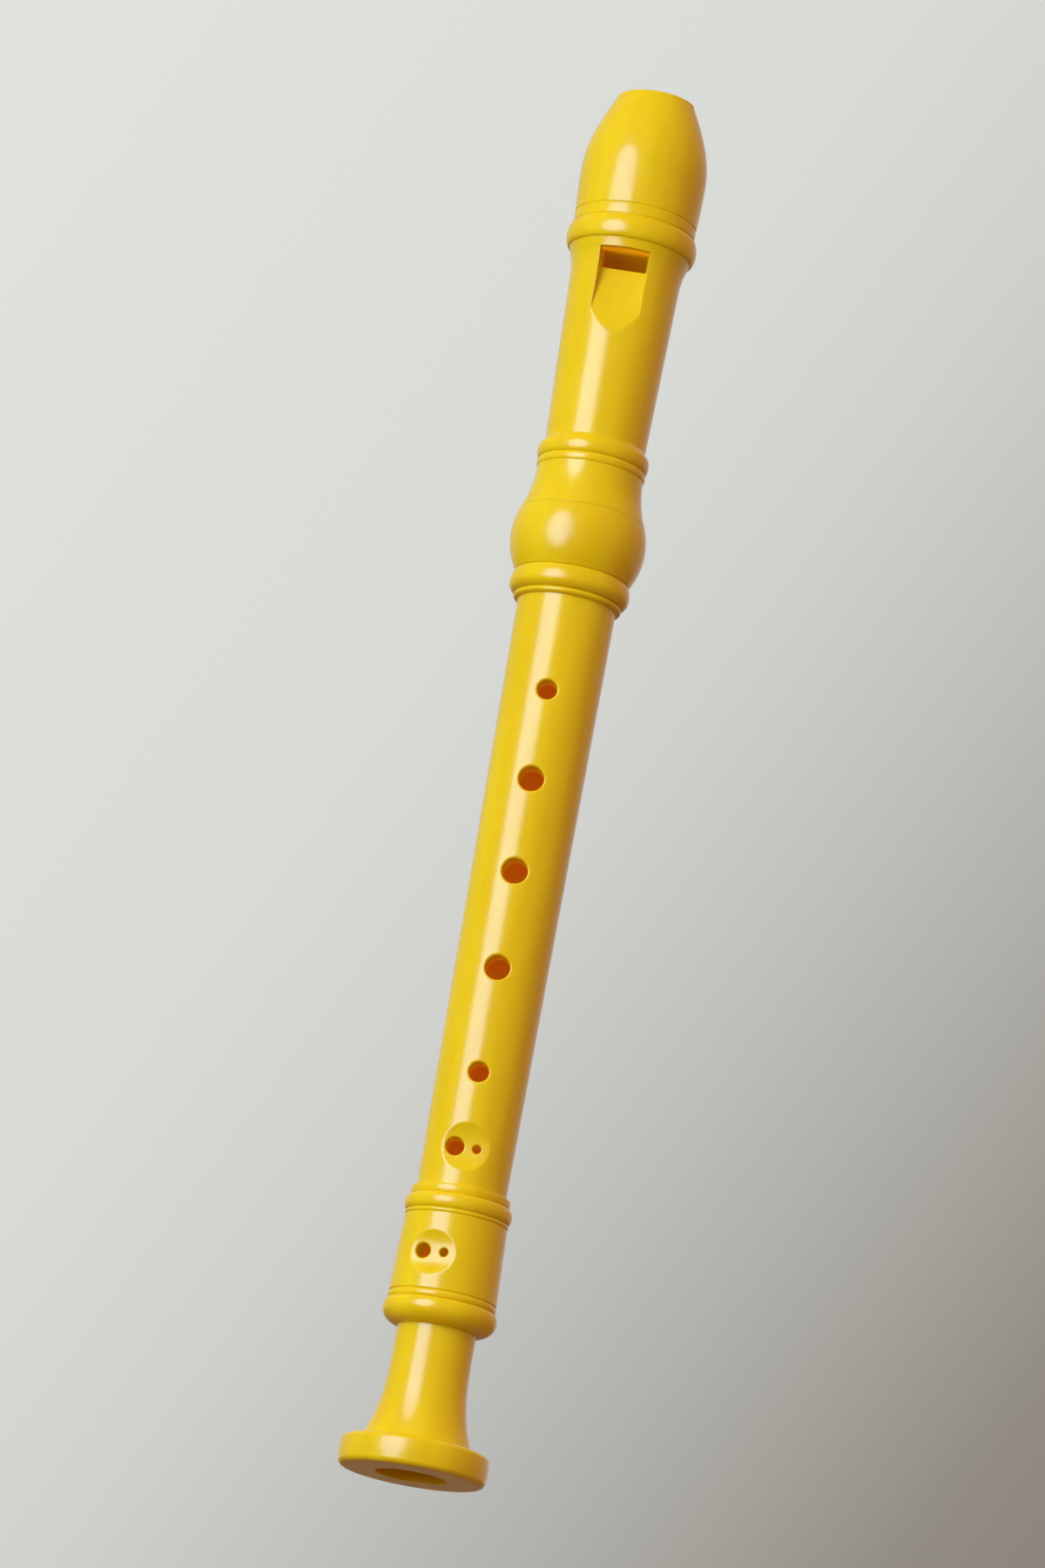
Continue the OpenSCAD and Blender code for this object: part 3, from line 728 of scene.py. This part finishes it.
def head_skin():
    """The head tube: socket, sleeve under the bulb, flare, rings, tube, window and labium."""
    angles = head_angles()
    skin = Skin()
    on_tube = lambda z: (cove_radius(z), z)
    socket = (TOP_SOCKET_R, HEAD_Z + 4)
    outline = [socket, (TOP_SOCKET_R, HEAD_Z), (SLEEVE_R, HEAD_Z), (SLEEVE_R, BULB_TOP_Z)]
    outline += flare((FLARE_LOW_R, BULB_TOP_Z), (FLARE_TOP_R, FLARE_TOP_Z), 2)
    outline += ring((HEAD_ROOT_R, FLARE_TOP_Z), (HEAD_ROOT_R, HEAD_RING_Z), FLARE_TOP_R + BEAD)
    outline += ring((HEAD_ROOT_R, HEAD_RING_Z), (HEAD_ROOT_R, HEAD_RING_TOP_Z), HEAD_RING_R)
    outline += [on_tube(HEAD_TUBE_Z), on_tube(HEAD_TUBE_Z + 1.9), on_tube(WINDOW_LOW_Z)]
    moulded(skin, outline, FINE_EDGE, angles)
    sides = np.linspace(WINDOW_LOW_Z, SEAM_Z, WINDOW_ROWS + 1)
    around = angles[WINDOW_COLUMNS:len(angles) - WINDOW_COLUMNS + 1]
    turned(skin, [on_tube(z) for z in sides], around, False)
    notch = both_ways(angles, OPENING_COLUMNS)
    mouth_x = HEAD_BORE_R * np.sin(notch)
    mouth_z = np.linspace(LABIUM_Z, SEAM_Z, OPENING_ROWS)
    top_x = window_patch(skin, angles, mouth_x, mouth_z)

    # Bore and socket, and the face that thins the labium from inside
    under_z = LABIUM_Z - UNDERCUT_H
    steps = np.linspace(0, 1, 9)
    bore = [(HEAD_BORE_R, under_z), (HEAD_BORE_R, TOP_SOCKET_Z), (TOP_SOCKET_R, TOP_SOCKET_Z), socket]
    moulded(skin, bore, EDGE, angles)
    bore_around = angles[OPENING_COLUMNS:len(angles) - OPENING_COLUMNS + 1]
    under_zs = under_z + UNDERCUT_H * steps
    turned(skin, [(HEAD_BORE_R, z) for z in (*mouth_z[::-1], *under_zs[:-1][::-1])], bore_around, False)
    bore_line = points_at(mouth_x, HEAD_BORE_R * np.cos(notch), under_z)
    blade_low = points_at(mouth_x, BLADE_BACK, LABIUM_Z)
    strip(skin, bore_line, blade_low, (0, 1, 0.3), len(steps))
    top_edge = points_at(mouth_x, recess_depth(mouth_x, LABIUM_Z), LABIUM_Z)
    strip(skin, top_edge, blade_low, (0, 0, 1))

    # Sides of the opening, and the flat upper end
    bore_depth = HEAD_BORE_R * math.cos(notch[-1])
    blade = bore_depth + (BLADE_BACK - bore_depth) * steps
    for x in (-WINDOW_HALF, WINDOW_HALF):
        inward = (-math.copysign(1, x), 0, 0)
        back_edge = points_at(x, BLADE_BACK, mouth_z)
        strip(skin, points_at(x, bore_depth, under_zs), points_at(x, blade, under_zs), inward)
        strip(skin, points_at(x, bore_depth, mouth_z), back_edge, inward)
        strip(skin, back_edge, points_at(x, recess_depth(x, mouth_z), mouth_z), inward)
    rim = cove_radius(SEAM_Z)
    walls = np.stack([top_x, -recess_depth(top_x, SEAM_Z)], axis=1)
    mirror = np.array([-1, 1])
    back = np.stack([rim * np.sin(around), -rim * np.cos(around)], axis=1)
    bore_back = HEAD_BORE_R * np.stack([np.sin(bore_around), -np.cos(bore_around)], axis=1)
    ends = np.array([[WINDOW_HALF, -BLADE_BACK]])
    outline = [back, walls[::-1][1:] * mirror, ends * mirror, bore_back[::-1], ends, walls[:-1]]
    flat_face(skin, np.concatenate(outline), [], SEAM_Z, (0, 0, 1))
    return skin


# ------------ mouthpiece

def beak_outline():
    """Outline of the mouthpiece's outside, upward from the seam to the tip's rounded edge."""
    out = [(cove_radius(z), z) for z in np.linspace(SEAM_Z, MOUTH_RING_Z, 5)]
    out += ring((HEAD_TOP_R + COVE_RISE, MOUTH_RING_Z), (BAND_R, BAND_Z), MOUTH_RING_R)
    for z in GROOVE_HEIGHTS:
        out += [(BAND_R, z - GROOVE), (BAND_R - GROOVE, z), (BAND_R, z + GROOVE)]
    start = GROOVE_HEIGHTS[-1] + GROOVE
    for u in np.linspace(0, 1, 15)[1:]:
        out.append((BELLY_R - (BELLY_R - BAND_R) * (1 - u) ** 2, start + (BELLY_Z - start) * u))
    for u in np.linspace(0, 1, 41)[1:]:
        radius = BELLY_R - (BELLY_R - BEAK_TIP_R) * (5 * u ** 2 - u ** 4) / 4
        out.append((radius, BELLY_Z + (TIP_Z - TIP_EDGE - BELLY_Z) * u))
    return softened(out, FINE_EDGE)


def hollow_back(z, cover=0.0):
    """How far behind the axis the hollow under the beak lets the plastic reach, at height z."""
    reach = (HOLLOW_BACK_R + cover) ** 2 - (z - HOLLOW_BACK_Z) ** 2
    return np.where(reach > 0, HOLLOW_BACK_Y - np.sqrt(np.maximum(reach, 0)), FAR)


def beak_point(angle, radius, back, middle, edge):
    """Point of a section of the beak: a circle cut flat at the back, seen from the section's middle."""
    s, c = np.sin(angle), np.cos(angle)
    to_round = middle * c + np.sqrt(np.maximum(radius ** 2 - (middle * s) ** 2, 1e-9))
    to_flat = np.where(c < -1e-3, (back - middle) / np.maximum(-c, 1e-3), FAR)
    reach = blended_min(to_round, to_flat, edge)
    return reach * s, middle - reach * c


def beak_rows(outline):
    """Sections of the mouthpiece from the seam to the tip: (height, radius, back, middle)."""
    rows = [(z, r, float(hollow_back(z))) for r, z in outline]
    for a in np.linspace(0, math.pi / 2, 11)[1:]:
        inset, z = TIP_EDGE * (1 - math.cos(a)), TIP_Z - TIP_EDGE * (1 - math.sin(a))
        rows.append((z, BEAK_TIP_R - inset, float(hollow_back(z)) - 0.6 * inset))
    return [(z, r, back, (min(back, r) - r) / 2) for z, r, back in rows]


def refined(outline, low_z, high_z, step):
    """The outline with points no further than step apart in height between two heights."""
    out = [outline[0]]
    for q in outline[1:]:
        p = out[-1]
        if low_z < q[1] and p[1] < high_z:
            count = max(1, math.ceil((q[1] - p[1]) / step))
            for k in range(1, count):
                out.append((p[0] + (q[0] - p[0]) * k / count, p[1] + (q[1] - p[1]) * k / count))
        out.append(q)
    return out


def grid_normals(points):
    """Normals of a grid of points whose rows close on themselves. Short and long sides count alike."""
    along = np.diff(points, axis=0)
    along /= np.linalg.norm(along, axis=2, keepdims=True)
    along = np.concatenate([along[:1], along[:-1] + along[1:], along[-1:]])
    around = np.roll(points, -1, axis=1) - points
    around /= np.linalg.norm(around, axis=2, keepdims=True)
    around += np.roll(around, 1, axis=1)
    normals = np.cross(around, along)
    return normals / np.linalg.norm(normals, axis=2, keepdims=True)


def windway_depths(z):
    """Depths of the windway's floor and roof at height z."""
    t = (z - SEAM_Z) / (TIP_Z - SEAM_Z)
    return FLOOR_EXIT - FLOOR_DROP * t, ROOF_EXIT - ROOF_DROP * t


def slot_sides(z, grow=0.0):
    """Points of the windway's four sides at height z, grown outwards."""
    floor, roof = windway_depths(z)
    floor, roof, half = floor - grow, roof + grow, WINDOW_HALF + grow
    xs, depths = np.linspace(-half, half, 25), np.linspace(floor, roof, 5)
    return {"roof": points_at(xs, roof, z), "floor": points_at(xs, floor, z),
            "left": points_at(-half, depths, z), "right": points_at(half, depths, z)}


def tip_surface(x, y):
    """Height of the tip's face at x and y, falling away at its rounded front edge, and its normals."""
    out = np.hypot(x, y)
    over = np.clip(out - (BEAK_TIP_R - TIP_EDGE), 0, TIP_EDGE * 0.999)
    up = np.sqrt(TIP_EDGE ** 2 - over ** 2)
    normal = np.stack([x / out * over / TIP_EDGE, y / out * over / TIP_EDGE, up / TIP_EDGE], axis=1)
    return TIP_Z - TIP_EDGE + up, normal


def windway_walls(skin):
    """The windway: a rounded entry, then straight walls. Its floor ends where the block begins."""
    upper = np.linspace(TIP_Z - 1.0, BLOCK_TOP_Z, 4)
    lower = np.linspace(BLOCK_TOP_Z, SEAM_Z, POCKET_ROWS)
    for side, way in WAYS.items():
        lip, lip_up = [], []
        for a in np.linspace(0, math.pi / 2, 7):
            row = slot_sides(TIP_Z, SLOT_LIP * (1 - math.sin(a)))[side]
            top, up = tip_surface(row[:, 0], row[:, 1])
            row[:, 2] = top - SLOT_LIP * (1 - math.cos(a))
            lip.append(row)
            lip_up.append(math.cos(a) * up + math.sin(a) * np.array(way))
        count = len(row)
        skin.add(np.concatenate(lip), np.concatenate(lip_up), grid_faces(len(lip), count, False))
        below = upper if side == "floor" else [*upper, *lower[1:]]
        walls = np.concatenate([row] + [slot_sides(h)[side] for h in below])
        skin.add(walls, np.tile(way, (len(walls), 1)), grid_faces(len(walls) // count, count, False))


def tip_cap(skin, points, normals):
    """The tip's face, between the beak's last rows and the windway's entry."""
    entry = slot_sides(TIP_Z, SLOT_LIP)
    loop = [entry["roof"][::-1], entry["left"][::-1][1:], entry["floor"][1:], entry["right"][1:-1]]
    loop = np.concatenate(loop)[:, :2]
    inner, inner_up = points[CAP_ROW:].reshape(-1, 3), normals[CAP_ROW:].reshape(-1, 3)
    floor, roof = windway_depths(TIP_Z)
    clear = SLOT_LIP + LIP_CLEAR
    near = (np.abs(inner[:, 0]) < WINDOW_HALF + clear) & (-inner[:, 1] < roof + clear)
    near &= -inner[:, 1] > floor - clear
    rim_z, rim_up = tip_surface(loop[:, 0], loop[:, 1])
    rim = np.column_stack([loop, rim_z])
    cap = np.concatenate([points[CAP_ROW - 1], rim, inner[~near]])
    cap_up = np.concatenate([normals[CAP_ROW - 1], rim_up, inner_up[~near]])
    count = points.shape[1]
    loops = [list(range(count)), list(range(count, count + len(rim)))]
    skin.add(cap, cap_up, filled(cap[:, :2], loops))


def block_pocket(skin):
    """The pocket that the block fills, up to the windway's sides. Returns its rows."""
    arcs, inward = [], []
    for h in np.linspace(BLOCK_TOP_Z, SEAM_Z, POCKET_ROWS):
        floor = windway_depths(h)[0]
        corner = math.sqrt(BLOCK_R ** 2 - floor ** 2)
        reach = float(hollow_back(h, BLOCK_COVER))
        centre = (min(reach, BLOCK_R) - floor) / 2
        first = math.atan2(corner, floor + centre)
        turn = np.linspace(first, 2 * math.pi - first, POCKET_COLUMNS)
        px, py = beak_point(turn, BLOCK_R, reach, centre, BLOCK_EDGE)
        arc = np.column_stack([px, py, np.full(len(px), h)])
        arc[0], arc[-1] = (corner, -floor, h), (-corner, -floor, h)
        arcs.append(arc)
        inward.append(np.array([0, centre, h]) - arc)
    arcs = np.array(arcs)
    skin.add(arcs.reshape(-1, 3), np.concatenate(inward), grid_faces(POCKET_ROWS, POCKET_COLUMNS, False))
    for sign, end in ((1, 0), (-1, -1)):
        ledge = arcs[:, end].copy()
        ledge[:, 0] = sign * WINDOW_HALF
        strip(skin, ledge, arcs[:, end], (0, 1, 0))
    floor_row = slot_sides(BLOCK_TOP_Z)["floor"][:, :2]
    flat_face(skin, np.concatenate([arcs[0][:, :2], floor_row]), [], BLOCK_TOP_Z, (0, 0, -1))
    return arcs


def mouth_skin():
    """The mouthpiece: ring, bands, beak with its hollowed back, windway, and the block's pocket."""
    skin = Skin()
    outline = refined(beak_outline(), BACK_START_Z, BACK_FINE_Z, 0.12)
    outline = refined(outline, BACK_FINE_Z, TIP_Z, 0.35)
    z, r, back, middle = (np.array(v)[:, None] for v in zip(*beak_rows(outline)))
    x, y = beak_point(round_angles(BEAK_COLUMNS)[None, :], r, back, middle, BEAK_EDGE)
    points = np.stack([x, y, np.broadcast_to(z, x.shape)], axis=2)
    normals = grid_normals(points)
    normals[-1] = (0, 0, 1)
    sides = points[:CAP_ROW]
    faces = grid_faces(len(sides), BEAK_COLUMNS, True)
    skin.add(sides.reshape(-1, 3), normals[:CAP_ROW].reshape(-1, 3), faces)
    windway_walls(skin)
    tip_cap(skin, points, normals)
    pocket = block_pocket(skin)
    way_out = slot_sides(SEAM_Z)
    loop = [pocket[-1], way_out["left"], way_out["roof"][1:], way_out["right"][::-1][1:]]
    flat_face(skin, points[0][:, :2], [np.concatenate(loop)[:, :2]], SEAM_Z, (0, 0, -1))
    return skin


# ------------ plastic

# Linear colours of the dyed plastic along its swirls
DYES = [(0.30, (0.815, 0.542, 0.0012)), (0.5, (0.845, 0.583, 0.0020)), (0.72, (0.875, 0.622, 0.0035))]
# Swirls, haze, waves and grain: size in mm, detail, stretch
NOISES = ((6.0, 3.0, (1, 1, 7)), (3.5, 4.0), (5.0, 1.0, (1, 1, 2)), (0.22, 2.0))
# Roughness of the gloss, least and most
ROUGHNESS = (0.18, 0.27)
DEPTHS = {"IOR": 1.54, "Subsurface Weight": 0.4, "Subsurface Scale": 0.0013,
          "Subsurface Radius": (1.0, 0.35, 0.04)}
# Painted glow, emission that stands in for light coming through the walls: colour, and where it starts
# and is full, by radius and height (m)
BORE_PAINTED_GLOW = ((0.092, 0.019, 0.001), (0.0085, 0.0066), (0.012, 0.030))
MOUTH_PAINTED_GLOW = ((0.40, 0.130, 0.0020), (0.0128, 0.0118), (SEAM_Z * MM + 0.0016, SEAM_Z * MM + 0.0002))
WINDOW_PAINTED_GLOW = ((0.075, 0.018, 0.0005), (0.0108, 0.0088), (LABIUM_Z * MM - 0.001, LABIUM_Z * MM + 0.001))


def node(tree, kind, inputs=None, **settings):
    """Adds a shader node with its settings and inputs."""
    made = tree.nodes.new(kind)
    for key, value in settings.items():
        setattr(made, key, value)
    feed(tree, made, inputs or {})
    return made


def feed(tree, made, inputs):
    """Sets inputs of a node. A value that is a socket is linked."""
    for key, value in inputs.items():
        if isinstance(value, bpy.types.NodeSocket):
            tree.links.new(value, made.inputs[key])
        else:
            made.inputs[key].default_value = value


def ramp(tree, source, stops):
    """A colour ramp fed by a socket; stops are (place, colour)."""
    made = node(tree, "ShaderNodeValToRGB", {"Fac": source})
    elements = made.color_ramp.elements
    elements[0].position, elements[0].color = stops[0][0], (*stops[0][1], 1)
    elements[1].position, elements[1].color = stops[-1][0], (*stops[-1][1], 1)
    for place, colour in stops[1:-1]:
        elements.new(place).color = (*colour, 1)
    return made.outputs["Color"]


def share(tree, value, low, high, least=0.0, most=1.0):
    """Goes from least to most while a value goes from low to high."""
    inputs = {"Value": value, "From Min": low, "From Max": high, "To Min": least, "To Max": most}
    return node(tree, "ShaderNodeMapRange", inputs).outputs["Result"]


def scaled_noise(tree, coords, size_mm, detail, stretch=(1, 1, 1)):
    """Noise with blotches about size_mm across, which stretch makes longer."""
    scale = [1000 / (size_mm * s) for s in stretch]
    mapped = node(tree, "ShaderNodeMapping", {"Vector": coords, "Scale": scale}).outputs["Vector"]
    inputs = {"Vector": mapped, "Scale": 1.0, "Detail": detail}
    return node(tree, "ShaderNodeTexNoise", inputs).outputs["Fac"]


def add_painted_glow(tree, shader, coords, colour, radii, levels):
    """Painted orange glow: emission standing in for the light that the walls let inside, by distance
    from the axis and by height.
    """
    flat = node(tree, "ShaderNodeVectorMath", {0: coords, 1: (1, 1, 0)}, operation="MULTIPLY")
    radius = node(tree, "ShaderNodeVectorMath", {0: flat.outputs["Vector"]}, operation="LENGTH")
    level = node(tree, "ShaderNodeSeparateXYZ", {"Vector": coords})
    parts = {0: share(tree, radius.outputs["Value"], *radii),
             1: share(tree, level.outputs["Z"], *levels)}
    both = node(tree, "ShaderNodeMath", parts, operation="MULTIPLY")
    feed(tree, shader, {"Emission Strength": both.outputs["Value"], "Emission Color": (*colour, 1)})


def plastic(name, painted_glow=None):
    """Dyed, moulded ABS: glossy, slightly see-into, with faint swirls, haze, waves and grain, and a
    painted glow where one is given.
    """
    material = bpy.data.materials.new(name)
    material.use_nodes = True
    tree = material.node_tree
    shader = tree.nodes["Principled BSDF"]
    coords = node(tree, "ShaderNodeTexCoord").outputs["Object"]
    swirls, haze, waves, grain = (scaled_noise(tree, coords, *noise) for noise in NOISES)
    fine = node(tree, "ShaderNodeBump", {"Height": grain, "Strength": 0.10, "Distance": 0.00002})
    under = fine.outputs["Normal"]
    soft = node(tree, "ShaderNodeBump",
                {"Height": waves, "Strength": 0.25, "Distance": 0.00008, "Normal": under})
    feed(tree, shader, {"Base Color": ramp(tree, swirls, DYES), "Normal": soft.outputs["Normal"],
                        "Roughness": share(tree, haze, 0.3, 0.7, *ROUGHNESS), **DEPTHS})
    # Painted glow: emission on the inner faces that stands in for light through the walls
    if painted_glow:
        add_painted_glow(tree, shader, coords, *painted_glow)
    return material


# ------------ camera, light and floor

VIEW_AZIMUTH = math.radians(5.6)
VIEW_ELEVATION = math.radians(-14.0)
VIEW_DISTANCE = 1.65
VIEW_LENS = 165.0
VIEW_LEAN = math.radians(10.19)
VIEW_POINT = Vector((0, 0, 0.1656))
VIEW_SHIFT = (0.00337, 0.00300)
LAMP_AZIMUTH = math.radians(-30.5)
LAMP_ELEVATION = math.radians(10.0)
LAMP_DISTANCE = 1.1
LAMP_SIZE = (0.78, 1.10)
LAMP_COLOUR = (0.92, 1.12, 1.65)
LAMP_POWER = 9.2
FLOOR_Z = -2.0
FLOOR_HALF = 30.0
# The floor's paper as the camera sees it, and the colour of the light that it sends up
FLOOR_PALE = [(0.3, (0.66, 0.66, 0.645)), (0.7, (0.68, 0.68, 0.665))]
FLOOR_BOUNCE = (0.31, 0.24, 0.19)

# Greys of the backdrop along its slant, and the light from all round, from behind right to front left
BACKDROP = [(0.0, (0.76, 0.77, 0.735)), (0.20, (0.69, 0.70, 0.67)), (0.26, (0.63, 0.635, 0.605)),
            (0.33, (0.50, 0.50, 0.475)), (0.44, (0.29, 0.265, 0.23)), (0.47, (0.26, 0.235, 0.20)),
            (0.75, (0.55, 0.55, 0.53)), (1.0, (0.65, 0.65, 0.64))]
SLANT = (0.8, -0.6)
SLANT_SPAN = (-0.124, 0.40)
FILL = [(0.0, (0.62, 0.33, 0.22)), (0.5, (0.68, 0.42, 0.29)), (1.0, (0.72, 0.67, 0.58))]
# What the gloss mirrors, from the photographer's side to the backdrop behind the recorder
MIRRORED = [(0.0, (0.10, 0.10, 0.10)), (0.60, (0.14, 0.13, 0.12)), (0.80, (0.34, 0.33, 0.31)),
            (1.0, (0.62, 0.62, 0.60))]


def toward(azimuth, elevation):
    """The unit vector from the recorder to something at that azimuth and elevation."""
    return Vector((math.sin(azimuth) * math.cos(elevation),
                   -math.cos(azimuth) * math.cos(elevation), math.sin(elevation)))


def in_scene(name, data):
    """Makes an object from its data and puts it in the scene."""
    made = bpy.data.objects.new(name, data)
    bpy.context.scene.collection.objects.link(made)
    return made


def add_camera():
    """The photograph's view: from the front, a little below, with the beak leaning to the right."""
    right, up, back = view_axes()
    data = bpy.data.cameras.new("camera")
    data.lens = VIEW_LENS
    data.clip_start = 0.05
    camera = in_scene("camera", data)
    aim = VIEW_POINT - right * VIEW_SHIFT[0] - up * VIEW_SHIFT[1]
    turn = Matrix((right, up, back)).transposed().to_4x4()
    camera.matrix_world = Matrix.Translation(aim + back * VIEW_DISTANCE) @ turn
    bpy.context.scene.camera = camera


def add_lamp():
    """An oval soft box that faces the middle of the recorder."""
    data = bpy.data.lights.new("soft_box", "AREA")
    data.shape = "ELLIPSE"
    data.size, data.size_y = LAMP_SIZE
    data.energy = LAMP_POWER
    data.color = LAMP_COLOUR
    lamp = in_scene("soft_box", data)
    way = toward(LAMP_AZIMUTH, LAMP_ELEVATION)
    lamp.location = VIEW_POINT + way * LAMP_DISTANCE
    lamp.rotation_mode = "QUATERNION"
    lamp.rotation_quaternion = way.to_track_quat("Z", "Y")


def facing(tree, coords, way, stops, low=-1.0, high=1.0):
    """A colour ramp over how far a direction points a given way."""
    dot = node(tree, "ShaderNodeVectorMath", {0: coords, 1: way}, operation="DOT_PRODUCT")
    return ramp(tree, share(tree, dot.outputs["Value"], low, high), stops)


def swapped(tree, ray, shader, other):
    """A shader that another takes the place of for one kind of ray."""
    seen = node(tree, "ShaderNodeLightPath").outputs[ray]
    return node(tree, "ShaderNodeMixShader", {"Fac": seen, 1: shader, 2: other}).outputs["Shader"]


def view_axes():
    """The photograph's right, up and backward directions, leaning with the recorder."""
    back = toward(VIEW_AZIMUTH, VIEW_ELEVATION)
    side = Vector((0, 0, 1)).cross(back).normalized()
    rise = back.cross(side)
    right = side * math.cos(VIEW_LEAN) + rise * math.sin(VIEW_LEAN)
    return right, back.cross(right), back


def add_world():
    """Soft light from all round, what the gloss mirrors, and the backdrop that the camera sees."""
    world = bpy.data.worlds.new("studio")
    world.use_nodes = True
    bpy.context.scene.world = world
    tree = world.node_tree
    coords = node(tree, "ShaderNodeTexCoord").outputs["Generated"]
    right, up, back = view_axes()
    shown = facing(tree, coords, right * SLANT[0] + up * SLANT[1], BACKDROP, *SLANT_SPAN)
    fill = facing(tree, coords, toward(math.radians(-60), math.radians(20)), FILL)
    mirrored = facing(tree, coords, -back, MIRRORED)
    feed(tree, tree.nodes["Background"], {"Color": fill})
    shader = tree.nodes["Background"].outputs["Background"]
    for colour, ray in ((mirrored, "Is Glossy Ray"), (shown, "Is Camera Ray")):
        other = node(tree, "ShaderNodeBackground", {"Color": colour}).outputs["Background"]
        shader = swapped(tree, ray, shader, other)
    feed(tree, tree.nodes["World Output"], {"Surface": shader})


def add_floor():
    """A plain pale floor, far enough below for views from below. It sends little light up."""
    mesh = bpy.data.meshes.new("floor")
    signs = ((-1, -1), (1, -1), (1, 1), (-1, 1))
    corners = [(x * FLOOR_HALF, y * FLOOR_HALF, FLOOR_Z) for x, y in signs]
    mesh.from_pydata(corners, [], [(0, 1, 2, 3)])
    floor = in_scene("floor", mesh)
    material = bpy.data.materials.new("floor_paper")
    material.use_nodes = True
    tree = material.node_tree
    shader = tree.nodes["Principled BSDF"]
    feed(tree, shader, {"Roughness": 0.9, "Base Color": (*FLOOR_BOUNCE, 1)})
    coords = node(tree, "ShaderNodeTexCoord").outputs["Object"]
    paper = ramp(tree, scaled_noise(tree, coords, 1.5, 4.0), FLOOR_PALE)
    pale = node(tree, "ShaderNodeEmission", {"Color": paper, "Strength": 1.0})
    seen = swapped(tree, "Is Camera Ray", shader.outputs["BSDF"], pale.outputs["Emission"])
    feed(tree, tree.nodes["Material Output"], {"Surface": seen})
    mesh.materials.append(material)


# ------------ assembly

def place(skin, name, body, cad_node, material):
    """Makes the object of a skin, which rides on a body and stands for its CAD node."""
    piece = in_scene(name, skin.mesh(name))
    piece.data.materials.append(material)
    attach(piece, body)
    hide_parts(cad_node)


add_camera()
add_world()
add_lamp()
add_floor()
bpy.context.scene.view_settings.view_transform = "Standard"
yellow = plastic("yellow_abs")
# These three materials paint an orange glow onto inner faces by radius and height
drilled = plastic("yellow_abs_painted_bore_glow", BORE_PAINTED_GLOW)
windowed = plastic("yellow_abs_painted_window_glow", WINDOW_PAINTED_GLOW)
mouth = plastic("yellow_abs_painted_mouth_glow", MOUTH_PAINTED_GLOW)
place(middle_skin(), "middle_tube", "middle", "middle_joint", drilled)
place(foot_skin(), "foot_bell", "foot", "foot_joint", drilled)
place(bulb_skin(), "bulb_shell", "head", "socket_bulb", yellow)
place(head_skin(), "head_barrel", "head", "head_tube", windowed)
place(mouth_skin(), "mouthpiece_beak", "head", "mouthpiece", mouth)
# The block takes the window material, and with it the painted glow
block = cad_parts["block"]
block.data.materials.clear()
block.data.materials.append(windowed)
